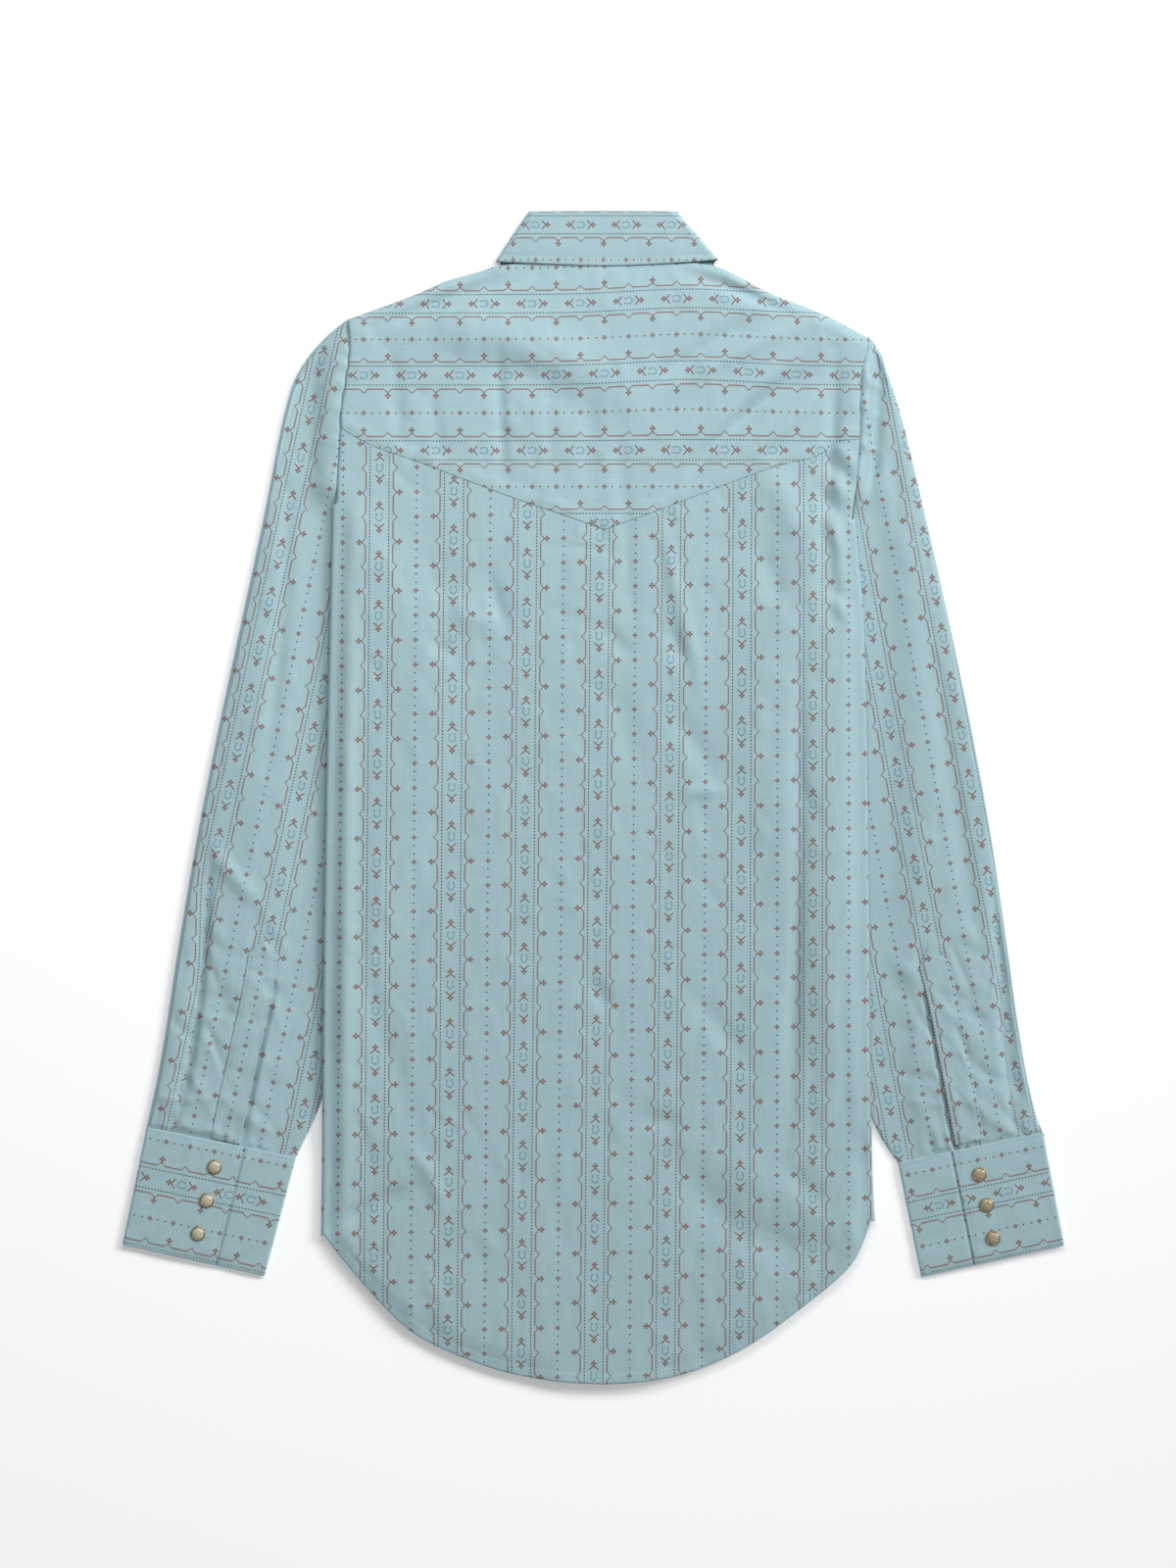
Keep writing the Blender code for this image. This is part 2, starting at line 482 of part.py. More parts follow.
def build_sleeve(name, outer, edge, inner, seam_top, seam_under, cuff, body_side, flip):
    """A flattened tube.  Each ring runs over the top from the outer edge to the inner, then back."""
    shares = np.array(RINGS)[::-1]
    guide_outer = spaced(rounded(outer), shares[:, 0])
    guide_edge = spaced(rounded(edge), shares[:, 1])
    guide_inner = spaced(rounded(inner, 1), shares[:, 2])
    cuff_line = spaced([cuff[0], cuff[1]], 101)
    split = int(np.argmin(np.hypot(*(cuff_line - guide_edge[0]).T)))
    seam_shares = np.append(np.linspace(0, 0.965, VISIBLE), 1)
    over = patch(spaced(cuff_line[:split + 1], VISIBLE + 1), spaced(seam_top, seam_shares),
                 guide_outer, guide_edge)
    under = patch(spaced(cuff_line[split:], HIDDEN + 1), spaced(seam_under, HIDDEN + 1),
                  guide_edge, guide_inner)
    plan = np.concatenate([over, under[:, 1:]], axis=1)
    across = np.concatenate([np.linspace(0, 1, VISIBLE + 1), np.ones(HIDDEN)])
    side = edge_x([(p[1], p[0]) for p in body_side], plan[:, :, 1])
    clear = np.abs(plan[:, :, 0]) - np.abs(side) - EDGE_INSET
    free = ramp((clear - 1) / 26)
    seam_free = ramp((plan[:, :, 1] - 222) / 40)
    free = np.maximum(free, seam_free)
    puff = shares[:, 3][:, None] * np.sin(math.pi * np.clip(across, 0, 1) ** 0.8)[None, :] ** 0.7
    start = 2 * SLEEVE_EDGE - SLEEVE_FLAT
    folds = fold_relief(SLEEVE_FOLDS, plan[:, :, 0], plan[:, :, 1])
    rise = start * (1 - across[None, :]) ** 1.5 + puff + folds
    top = SLEEVE_FLAT + np.maximum(rise, 0) * free
    rings = []
    for i in range(len(plan)):
        line = plan[i]
        outer_in = (line[1] - line[0]) / np.linalg.norm(line[1] - line[0])
        inner_in = (line[-2] - line[-1]) / np.linalg.norm(line[-2] - line[-1])
        outer_radius, inner_radius = top[i, 0] / 2, SLEEVE_FLAT / 2
        outer_reach = outer_radius / squareness(outer_in, guide_outer, i)
        inner_reach = inner_radius / squareness(inner_in, guide_inner, i)
        points = []
        for angle in np.radians([225, 270, 315]):
            shift = outer_reach * (1 + math.sin(angle))
            points.append((*(line[0] + outer_in * shift), outer_radius * (1 + math.cos(angle))))
        first = line[0] + outer_in * outer_reach
        points.append((*first, 2 * outer_radius))
        points += [(*line[j], top[i, j]) for j in range(1, len(line) - 1)]
        last = line[-1] + inner_in * inner_reach
        points.append((*last, SLEEVE_FLAT))
        for angle in np.radians([45, 90, 135]):
            shift = inner_reach * (1 - math.sin(angle))
            points.append((*(line[-1] + inner_in * shift), inner_radius * (1 + math.cos(angle))))
        points.append((*last, 0))
        points += [(*line[j], 0) for j in range(len(line) - 2, 0, -1)]
        points.append((*first, 0))
        rings.append(points)
    return wall(name, np.array(rings), WALL, CLOTH_COLOUR, tube=True, flip=flip)


def surface_of(item):
    """The evaluated surface of an object, to lay another piece on."""
    evaluated = item.evaluated_get(bpy.context.evaluated_depsgraph_get())
    mesh = evaluated.to_mesh()
    points = [v.co.copy() for v in mesh.vertices]
    return BVHTree.FromPolygons(points, [list(p.vertices) for p in mesh.polygons])


def height_on(tree, x, y):
    hit = tree.ray_cast(Vector((x * MM, y * MM, 1)), Vector((0, 0, -1)))[0]
    return hit.z / MM


def build_sleeve_placket(name, line, sleeve, flip):
    """A pointed strip on the sleeve, laid on the sleeve's own surface."""
    tree = surface_of(sleeve)
    middle = spaced(line, 16)
    length = np.linalg.norm(np.diff(middle, axis=0), axis=1).sum()
    grid = []
    along = 0.0
    for i, point in enumerate(middle):
        step = middle[min(i + 1, 15)] - middle[max(i - 1, 0)]
        heading = step / np.linalg.norm(step)
        side = np.array((heading[1], -heading[0]))
        if i:
            along += np.linalg.norm(point - middle[i - 1])
        half = PLACKET_HALF * min(1.0, 0.04 + 0.96 * (length - along) / POINT_LENGTH)
        row = []
        for share in (-1, -0.33, 0.33, 1):
            x, y = point + side * half * share
            row.append((x, y, height_on(tree, x, y) + PLACKET_LIFT + WALL))
        grid.append(row)
    return wall(name, np.array(grid), WALL, TRIM_COLOUR, flip=flip)


def build_cuff(name, corners, lap, flip):
    """A band wrapped round the wrist, its end lapped over and snapped."""
    rows, turn = 4, 0.012
    low, high = STIFF_WALL + LAY + STIFF_WALL, CUFF_TOP
    right_top = low + 0.5
    path = [(lap - UNDERLAP, low), (lap - 0.1, low), (lap + 0.04, low)]
    path += [(lap + 0.16, right_top), (0.93, right_top)]
    for angle in np.radians([0, 45, 90, 135, 180]):
        path.append((1 - turn + turn * math.sin(angle), right_top / 2 * (1 + math.cos(angle))))
    path += [(0.8, 0), (0.6, 0), (0.4, 0), (0.2, 0)]
    for angle in np.radians([180, 225, 270, 315, 360]):
        path.append((turn * 1.4 + turn * 1.4 * math.sin(angle), high / 2 * (1 + math.cos(angle))))
    path += [(0.15, high), (0.3, high), (lap - 0.17, high), (lap, high)]
    start_outer, start_inner, end_outer, end_inner = [np.array(c, dtype=float) for c in corners]
    down = (end_outer - start_outer) / np.linalg.norm(end_outer - start_outer)
    grid = []
    for v in np.linspace(0, 1, rows):
        a, b = start_outer * (1 - v) + end_outer * v, start_inner * (1 - v) + end_inner * v
        row = [(*(a + (b - a) * w + down * CUFF_GAP * (1 - v)), z) for w, z in path]
        grid.append(row)
    return wall(name, np.array(grid), STIFF_WALL, TRIM_COLOUR, flip=flip)


def build_cap(name, height, steps):
    """A domed pearl cap in its rim, turned about Z."""
    mesh = bpy.data.meshes.new(name)
    points = [(r * CAP_RADIUS * MM, 0, z * height * MM) for r, z in CAP_PROFILE]
    mesh.from_pydata(points, [(i, i + 1) for i in range(len(points) - 1)], [])
    item = place(name, mesh, PEARL_COLOUR, 0.3)
    turn = item.modifiers.new("Turn", "SCREW")
    turn.steps = turn.render_steps = steps
    turn.use_merge_vertices = True
    turn.merge_threshold = 0.00001
    return item


# ---------------------------------------------------------------- collar

def towards_middle(point):
    """Direction along X from a point to the collar's middle."""
    return np.array((1.0 if point[0] < CENTRE_X else -1.0, 0.0))


def collar_stations():
    """Stations round the collar, from the left point under the shirt, over the back, to the right one.

    Each holds the roll point, the edge point and the angle of the surface: -90 faces down, 90 up.
    """
    def mirrored(points):
        return [(2 * CENTRE_X + 1 - x, y) for x, y in points]
    front = list(zip(spaced(LEAF_ROLL_FRONT, 5), spaced(LEAF_EDGE_FRONT, 5), [-90] * 5))
    corner_left = (np.array(LEAF_ROLL_BACK[0]), np.array(LEAF_EDGE_BACK[0]))
    corner_right = (np.array(LEAF_ROLL_BACK[-1]), np.array(LEAF_EDGE_BACK[-1]))
    back = list(zip(spaced(LEAF_ROLL_BACK, 13), spaced(LEAF_EDGE_BACK, 13), [90] * 13))
    right_front = list(zip(spaced(mirrored(LEAF_ROLL_FRONT)[::-1], 5),
                           spaced(mirrored(LEAF_EDGE_FRONT)[::-1], 5), [-90] * 5))
    turn_left = [(*corner_left, angle) for angle in (-90, -45, 0, 45)]
    turn_right = [(*corner_right, angle) for angle in (45, 0, -45, -90)]
    return front[:-1] + turn_left + back + turn_right + right_front[1:]


def build_collar_leaf():
    grid = []
    shares = (0.0, 0.0, 0.04, 0.3, 0.65, 1.0)
    depths = (2 * ROLL_RADIUS, ROLL_RADIUS, 0.0, 0.0, 0.0, 0.0)
    pushed = (2.2, 0.0, 1.2, 0.0, 0.0, 0.0)
    for roll, edge, angle in collar_stations():
        tilt = math.radians(angle)
        inward = towards_middle(roll)
        ahead = (edge - roll) / np.linalg.norm(edge - roll)
        row = []
        for share, depth, push in zip(shares, depths, pushed):
            top = LEAF_TOP_ROLL + (LEAF_TOP_EDGE - LEAF_TOP_ROLL) * share
            radius = top / 2
            reach = radius - depth
            turned = inward * (radius - reach * math.cos(tilt)) * corner_share(roll, 12)
            plan = roll + (edge - roll) * share + ahead * push + turned
            row.append((*plan, radius + reach * math.sin(tilt)))
        grid.append(row)
    return wall("collar_leaf", np.array(grid), STIFF_WALL, TRIM_COLOUR)


def build_collar_stand():
    """The band between neckline and roll, a flattened ring whose left end laps under the right."""
    mirror = 2 * CENTRE_X + 1
    back_low = [(-65, 393), (8, 398.4), (82, 393.8)]
    back_high = [(-48, 418), (-40, 423.5), (8, 426), (57, 423.5), (65, 417.5)]
    front_low = [(21, 347), (8, 346), (-22, 352), (-50, 371), (-65, 393)]
    front_high = [(21, 366), (8, 365), (-20, 381), (-48, 418)]
    end_lift = [0.3, 0.3, 0.2, 0, 0, 0]
    stations = []
    for low, high, lift in zip(spaced(front_low, 6), spaced(front_high, 6), end_lift):
        stations.append((low, high, -90, lift))
    low, high = np.array(back_low[0]), np.array(back_high[0])
    stations += [(low, high, angle, 0) for angle in (-45, 0, 45)]
    stations += [(low, high, 90, 0) for low, high in zip(spaced(back_low, 9), spaced(back_high, 9))]
    low, high = np.array(back_low[-1]), np.array(back_high[-1])
    stations += [(low, high, angle, 0) for angle in (45, 0, -45)]
    right_low = back_low[-1:] + [(mirror - x, y) for x, y in front_low[-2::-1]]
    right_high = back_high[-1:] + [(mirror - x, y) for x, y in front_high[-2::-1]]
    for low, high, lift in zip(spaced(right_low, 6), spaced(right_high, 6), [0, 0, 0, 0.9, 1.7, 1.7]):
        stations.append((low, high, -90, lift))
    grid = []
    for low, high, angle, lift in stations:
        row = []
        for share in (0, 0.33, 0.67, 1):
            top = NECK_EDGE + (STAND_TOP - NECK_EDGE) * share
            radius, middle = (top - NECK_BED) / 2, (top + NECK_BED) / 2
            shift = radius * (1 - math.cos(math.radians(angle))) * corner_share(high, 10)
            plan = low + (high - low) * share + towards_middle(high) * shift
            row.append((*plan, middle + radius * math.sin(math.radians(angle)) + lift))
        grid.append(row)
    return wall("collar_stand", np.array(grid)[:, ::-1], WALL, TRIM_COLOUR)


def corner_share(roll, reach):
    """1 at the collar's side edges, falling to 0 over `reach` towards its middle."""
    away = min(abs(roll[0] - LEAF_ROLL_BACK[0][0]), abs(roll[0] - LEAF_ROLL_BACK[-1][0]))
    return max(0.0, 1 - away / reach)


# ---------------------------------------------------------------- assembly

def main():
    clear_scene()
    shirt = bpy.data.collections.new("western_snap_shirt")
    bpy.context.scene.collection.children.link(shirt)
    build_back_panel()
    build_back_yoke()
    build_fronts()
    build_front_placket()
    left = build_sleeve("sleeve_left", OUTER_LEFT, EDGE_LEFT, INNER_LEFT, SEAM_TOP_LEFT,
                        UNDER_SEAM_LEFT, CUFF_LEFT, SIDE_LEFT, False)
    right = build_sleeve("sleeve_right", OUTER_RIGHT, EDGE_RIGHT, INNER_RIGHT, SEAM_TOP_RIGHT,
                         UNDER_SEAM_RIGHT, CUFF_RIGHT, SIDE_RIGHT, True)
    build_sleeve_placket("sleeve_placket_left", PLACKET_LEFT, left, False)
    build_sleeve_placket("sleeve_placket_right", PLACKET_RIGHT, right, False)
    build_cuff("cuff_left", CUFF_LEFT, LAP_LEFT, True)
    build_cuff("cuff_right", CUFF_RIGHT, LAP_RIGHT, False)
    for side, places in (("left", SNAPS_LEFT), ("right", SNAPS_RIGHT)):
        for count, (x, y) in enumerate(places, 1):
            cap = build_cap(f"cuff_snap_{side}_{count}", CAP_HEIGHT, 16)
            cap.location = (x * MM, y * MM, (CUFF_TOP + SEAM) * MM)
    for count, y in enumerate(FRONT_SNAPS_Y, 1):
        cap = build_cap(f"front_snap_{count}", FRONT_CAP_HEIGHT, 8)
        cap.location = (CENTRE_X * MM, y * MM, FRONT_CAP_HEIGHT * MM)
        cap.rotation_euler = (math.pi, 0, 0)
    build_collar_stand()
    build_collar_leaf()


main()
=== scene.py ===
"""Western snap shirt, fastened, pressed and laid flat with its face down.

Lengths in the tables are in millimetres.  X runs across the shirt, Y up its back to the collar,
and Z up from the table that it lies on.  Left is the wearer's left.
"""
import bpy
import math
import numpy as np
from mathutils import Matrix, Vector
from mathutils.bvhtree import BVHTree


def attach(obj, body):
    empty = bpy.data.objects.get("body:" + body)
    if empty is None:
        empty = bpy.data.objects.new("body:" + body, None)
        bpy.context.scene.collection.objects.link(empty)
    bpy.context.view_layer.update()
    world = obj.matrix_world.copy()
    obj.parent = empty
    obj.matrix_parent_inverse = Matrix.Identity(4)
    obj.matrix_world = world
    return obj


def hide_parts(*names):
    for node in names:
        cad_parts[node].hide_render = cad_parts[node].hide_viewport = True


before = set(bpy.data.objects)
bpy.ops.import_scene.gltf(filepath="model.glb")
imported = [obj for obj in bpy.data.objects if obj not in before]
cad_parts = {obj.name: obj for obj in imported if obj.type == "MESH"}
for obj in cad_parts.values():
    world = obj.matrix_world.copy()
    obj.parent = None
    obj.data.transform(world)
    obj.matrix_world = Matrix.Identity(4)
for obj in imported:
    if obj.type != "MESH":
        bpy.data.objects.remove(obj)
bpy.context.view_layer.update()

# ---------------------------------------------------------------------------------------------
# Back panel.  The back below the yoke, cut lengthwise from printed cotton poplin.  Its sides turn
# under to the side seams, its shirt-tail hem is folded up and stitched, and its top edge runs
# under the yoke.  It lies in soft creases over the fronts and the tops of the sleeves.

MM = 0.001
CENTRE_X = 8.0
CLOTH = 0.45         # poplin, and the air that a pressed layer holds
WALL = 1.0           # room that one layer takes in the pile
LAY = 0.4            # space between layers that only lie on each other
LAYER = WALL + LAY
TURN_SLACK = 0.5     # more room inside a turned side

# Heights above the table
BODY_BED = 2.9       # underside of the body where it lies on a sleeve
NECK_BED = 1.6       # underside of the fronts where they lie on the collar points
SNAP_BED = 1.9       # underside of the front placket where it lies on the snap caps
BACK_LEVEL = 8.8     # upper side of the back over the fronts
SIDE_LOFT = 2.6      # how much the back rises over the sleeves and the turned sides
EDGE_HEIGHT = 5.2    # thickness of the body at its turned edge
FRONT_SNAPS_Y = [358, 300, 190, 80, -30, -140, -250]
FRONT_PLACKET_HALF = 18

HEM_LEFT = [(-197.2, -321.5), (-188.3, -334.5), (-163, -364), (-135, -393), (-103, -408.5), (-67, -422),
            (-25, -429.3), (8, -430.5)]
HEM_RIGHT = [(8, -430.5), (35, -429.4), (70, -423), (103, -409), (127, -394.5), (146, -380), (182, -352),
             (195, -335.5), (203.7, -311)]
SIDE_LEFT = [(-197.2, -321.5), (-196.5, -264), (-195.8, -134), (-193.6, 10), (-191, 120), (-188.6, 215)]
SIDE_RIGHT = [(203.7, -311), (201.5, -264), (200.1, -134), (198.6, 10), (196.5, 125), (192.2, 175),
              (189.3, 204)]
BLADE_LEFT = [(-188.6, 215), (-132, 212), (8, 168)]
BLADE_RIGHT = [(8, 168), (140, 206), (189.3, 204)]
YOKE_SEAM_LEFT = [(-185.7, 271.6), (-165.2, 258.3), (-132.1, 247.5), (-88.9, 231), (-58.7, 219.5),
                  (-26.3, 208.7), (8, 196.4)]
YOKE_SEAM_RIGHT = [(8, 196.4), (44.3, 209.4), (65.2, 217.3), (92.5, 227.7), (119.9, 238.2), (140.8, 244.9),
                   (161.6, 249), (168.1, 252.6), (176.5, 260.1), (183.2, 261.9), (195.5, 262.7)]
ARMHOLE_LEFT_LOW = [(-188.6, 215), (-187.4, 243), (-185.7, 271.6)]
ARMHOLE_RIGHT_LOW = [(189.3, 204), (193, 230), (195.5, 262.7)]

# Edges under the body as (y, x): the sleeves' inner edges, and the side seams with the armholes above them
TUCK_LEFT = [(-264, -218.5), (-224, -199), (-180, -188), (-100, -165), (0, -136), (40, -124), (70, -122),
             (100, -128), (135, -137), (175, -160), (215, -191), (285, -262)]
TUCK_RIGHT = [(-268, 223.6), (-240, 204), (-185, 192), (-105, 169), (-5, 140), (35, 128), (62, 126),
              (92, 132), (125, 141), (165, 163), (204, 192), (275, 262)]
SEAM_LEFT = [(-322, -200), (-262, -143), (135, -137), (154, -153), (180, -172), (215, -191), (285, -262)]
SEAM_RIGHT = [(-312, 206), (-252, 148), (125, 142), (144, 155), (170, 174), (204, 192), (275, 262)]
TURNED = 53.4        # width turned under at each side
STRIP_HEM_RISE = 58  # the hem rises towards the side seam
UNDERARM_DROP = 80   # the armhole falls towards the side seam
ARMHOLE_CURVE = 0.75
EDGE_ROUNDING = 16   # how far in from a turned edge the back begins to fall to it
ROUNDED_BELOW = 235  # where the turned edges end, up the back
HEM_FOLD = 6.2
HEM_FALL = 20        # how far above the hem the back begins to sink
UNDER_YOKE = [[[0, 2.0]], [[0, 5.0]]]   # how far the panel runs on under the yoke, in two rows

# Unevenness of the whole back: how far the creases below are taken, the slack, and small dents
CREASE_GAIN = 1.35
SLACK_RISE, SLACK_SPAN = 0.32, 64
DENTS, DENT_RISE, BACK_BOX = 760, 0.62, (-205, -430, 210, 400)
HEM_LEVEL, HEM_SETTLE = 4.6, 0.6   # the hem sinks this share of the way to this height
PIECE_GAP = 0.3

# Creases of the back: the line, its half width, its rise, and how far it leans to a sharp left side
BACK_CREASES = [
    ([(-126, 346), (-62, 336), (-11, 318), (14, 298)], 19, 3.6, 0),
    ([(-96, 322), (-56, 314), (-22, 300), (0, 270)], 13, -1.5, 0),
    ([(-70, 330), (-66, 232)], 5, -1.8, 0.3),
    ([(-3, 298), (-2, 211)], 8, -1.0, 0),
    ([(-33, 320), (-31, 240)], 5, -0.7, 0),
    ([(-119, 298), (-112, 248)], 5, -0.9, 0),
    ([(-148, 334), (-141, 262)], 6, -1.0, 0),
    ([(39, 300), (80, 330), (129, 356)], 7, -2.4, 0),
    ([(60, 298), (110, 330), (165, 350)], 6, 1.5, 0),
    ([(95, 262), (135, 296), (170, 318)], 6, -2.1, 0),
    ([(120, 250), (150, 282), (172, 300)], 5, 1.7, 0),
    ([(54, 219), (97, 269), (140, 305), (176, 338)], 7, -2.1, -0.4),
    ([(66, 243), (105, 290), (150, 325)], 8, 1.5, 0),
    ([(178, 327), (176, 270), (170, 170)], 6, -2.6, 0.3),
    ([(128, 242), (142, 215), (152, 185)], 12, 2.6, 0),
    ([(174, 260), (187, 251), (194, 238)], 4, 1.7, 0),
    ([(171, 249), (184, 239), (191, 226)], 3.5, -1.7, 0),
    ([(169, 237), (182, 225), (190, 210)], 4.5, 1.9, 0),
    ([(167, 225), (179, 211), (187, 197)], 4, -1.9, 0),
    ([(166, 211), (178, 191), (190, 177)], 6, 1.5, 0),
    ([(166, 160), (192, 140)], 5, -1.1, 0),
    ([(168, 140), (195, 118)], 5, -0.9, 0),
    ([(172, 192), (173, 165), (176, 140)], 6, -2.4, 0),
    ([(178, 150), (186, 130), (196, 112)], 6, 1.6, 0),
    ([(154, 140), (150, 90), (152, 10), (148, -134), (144, -250)], 6, -2.0, 0.3),
    ([(152, 12), (164, -18)], 5, -1.0, 0),
    ([(140, -271), (169, -300)], 7, -1.3, 0),
    ([(172, 60), (173, -60), (170, -220)], 14, 1.5, 0),
    ([(182, -120), (188, -278)], 6, -1.1, 0),
    ([(200, 334), (198, 300), (196, 262), (192, 215)], 4, -0.8, 0),
    ([(-172, 80), (-172, -110), (-160, -150)], 8, -0.8, 0),
    ([(-180, 205), (-181, 120), (-182, 0), (-184, -134), (-185, -300)], 7.5, 1.9, 0),
    ([(-180, -112), (-148, -192), (-119, -278)], 8, -0.8, 0),
    ([(-187, -314), (-162, -300), (-134, -285)], 7, -2.4, 0.3),
    ([(-133, -259), (-119, -275), (-112, -300)], 6, 1.7, 0),
    ([(58, -258), (88, -304), (124, -329), (172, -334)], 13, -1.7, 0),
    ([(92, -258), (128, -286), (165, -306)], 15, 1.1, 0),
    ([(184, -307), (197, -334)], 6, 1.0, 0),
    ([(32, -235), (68, -242)], 7, -1.3, 0),
    ([(52, 192), (60, 155), (68, 125), (78, 88)], 6, 1.5, 0.2),
    ([(16, 289), (24, 200), (28, 110)], 6, -1.0, 0),
    ([(56, 125), (66, 98)], 6, -1.8, 0),
    ([(62, 60), (76, 38), (88, 18)], 8, -1.5, 0),
    ([(62, 2), (80, 6), (95, 4)], 5, 1.6, 0),
    ([(-76, 161), (-65, 125)], 5, -1.7, 0),
    ([(-114, 142), (-90, 133), (-70, 123)], 9, 1.3, 0),
    ([(-119, 116), (-105, 104)], 5, -1.2, 0),
    ([(10, 125), (25, 104)], 5, -1.5, 0),
    ([(18, 82), (32, 17)], 9, -1.1, 0),
    ([(122, 183), (140, 140)], 8, -1.5, 0),
    ([(-4, -134), (14, -156)], 6, -1.3, 0),
    ([(68, -141), (111, -192)], 8, -1.1, 0),
    ([(-119, -372), (-121, -404)], 7, -0.9, 0),
    ([(79, -395), (80, -420)], 7, -0.9, 0),
    ([(64, 386), (94, 377), (121, 366), (146, 355)], 4.5, -3.2, 0),
    ([(75, 391), (110, 381), (140, 370)], 5, 1.4, 0),
    ([(-50, 385), (-85, 374), (-125, 358), (-160, 346)], 5.5, -3.0, 0),
    ([(8, 393), (8, 376)], 2.5, -1.5, 0),
    ([(26, 392), (27, 378)], 2.2, -1.2, 0),
    ([(35, 392), (37, 374)], 2.2, -1.2, 0),
    ([(-20, 392), (-22, 380)], 2.2, -1.0, 0),
    ([(-38, 391), (-43, 378)], 2.5, -1.2, 0)]

# Where the bands of the print run down the back, and how far apart they are cut
BANDS_X = [-210.6, -157.3, -102.6, -48.6, 4.7, 57.2, 109.1, 160.9, 213.3]
BAND_PITCH = 54.4
REPEAT = 36.2


def run_along(line):
    """How far along a line each of its points is."""
    steps = np.linalg.norm(np.diff(np.array(line, dtype=float), axis=0), axis=1)
    return np.concatenate([[0.0], np.cumsum(steps)])


def spaced(points, count):
    """Points along a line, evenly by length, or at the shares of its length given."""
    line, along = np.array(points, dtype=float), run_along(points)
    shares = np.asarray(count) if np.ndim(count) else np.linspace(0, 1, count)
    return np.stack([np.interp(shares * along[-1], along, column) for column in line.T], axis=1)


def rounded(points, passes=3):
    """The line with its corners cut, ends kept."""
    line = np.array(points, dtype=float)
    for _ in range(passes):
        near, far = line[:-1] * 0.75 + line[1:] * 0.25, line[:-1] * 0.25 + line[1:] * 0.75
        inner = np.stack([near, far], axis=1).reshape(-1, line.shape[1])[1:-1]
        line = np.concatenate([line[:1], inner, line[-1:]])
    return line


def ramp(value):
    """0 below 0, 1 above 1, and smooth in between."""
    t = np.clip(value, 0, 1)
    return t * t * (3 - 2 * t)


def soft_max(a, b, blend=0.6):
    return 0.5 * (a + b + np.sqrt((a - b) ** 2 + blend ** 2))


def unit(steps):
    """Steps of length 1 in the same directions."""
    return steps / np.linalg.norm(steps, axis=-1, keepdims=True)


def patch(bottom, top, left, right, shares=None):
    """Grid of plan points inside four border lines: a row for each point of the side lines, which
    lie at the given shares of their length, or evenly."""
    v = (np.linspace(0, 1, len(left)) if shares is None else shares)[:, None, None]
    u = np.linspace(0, 1, len(bottom))[None, :, None]
    across = (1 - v) * bottom[None] + v * top[None]
    along = (1 - u) * left[:, None] + u * right[:, None]
    corners = ((1 - u) * (1 - v) * bottom[0] + u * (1 - v) * bottom[-1]
               + (1 - u) * v * top[0] + u * v * top[-1])
    return across + along - corners


def read_off(table, at):
    """A table's second column, read where its first column has the values given."""
    rows = np.array(table, dtype=float)
    return np.interp(at, rows[:, 0], rows[:, 1])


def beyond(x, y, left, right, flat, slope):
    """1 outside the two edge lines and `flat` inside them, falling to 0 over `slope`."""
    from_left = (read_off(left, y) + flat + slope - x) / slope
    from_right = (x - read_off(right, y) + flat + slope) / slope
    return ramp(np.maximum(from_left, from_right))


def near_line(line, x, y, reach):
    """Distance of each point from a line, how far along the line it is, and on which side (left is +).

    It is worked out only within `reach` of the line's box; elsewhere the distance is huge.
    """
    points = np.array(line, dtype=float)
    steps, starts = np.diff(points, axis=0), run_along(points)
    low, high = points.min(axis=0) - reach, points.max(axis=0) + reach
    near = (x > low[0]) & (x < high[0]) & (y > low[1]) & (y < high[1])
    found = np.zeros((3, *x.shape))
    found[0] = 1e9
    best, far, side = found[:, near]
    xs, ys = x[near], y[near]
    for (px, py), (sx, sy), start, end in zip(points, steps, starts, starts[1:]):
        t = np.clip(((xs - px) * sx + (ys - py) * sy) / (end - start) ** 2, 0, 1)
        dx, dy = xs - px - t * sx, ys - py - t * sy
        gap = np.hypot(dx, dy)
        nearer = gap < best
        best = np.where(nearer, gap, best)
        far = np.where(nearer, start + t * (end - start), far)
        side = np.where(nearer, np.sign(sx * dy - sy * dx), side)
    found[:, near] = best, far, side
    return found


def creased(table, x, y):
    """Height of a table's creases: soft ridges and troughs that run out at their ends."""
    total = np.zeros(x.shape)
    for line, half, rise, lean in table:
        points = rounded(line, 2) if len(line) > 2 else line
        gap, far, side = near_line(points, x, y, 3 * half)
        length = run_along(points)[-1]
        width = half * np.where(side * lean > 0, 1 - 0.75 * abs(lean), 1)
        ends = ramp(np.minimum(far, length - far) / (0.3 * length))
        total += rise * (0.3 + 0.7 * ends) * np.exp(-np.minimum(gap / width, 6) ** 2)
    return total


def slack(x, y, seed, size):
    """Shallow unevenness of pressed cloth, between about -1 and 1."""
    dice = np.random.default_rng(seed)
    total = np.zeros(x.shape)
    for _ in range(7):
        angle, phase, length = dice.uniform(0, math.pi), dice.uniform(0, 6.3), size * dice.uniform(0.6, 1.7)
        ahead = (x * math.cos(angle) + y * math.sin(angle)) * 2 * math.pi / length
        aside = (y * math.cos(angle) - x * math.sin(angle)) * 2 * math.pi / (1.9 * length)
        total += np.sin(ahead + phase + 0.9 * np.sin(aside))
    return total / 4.5


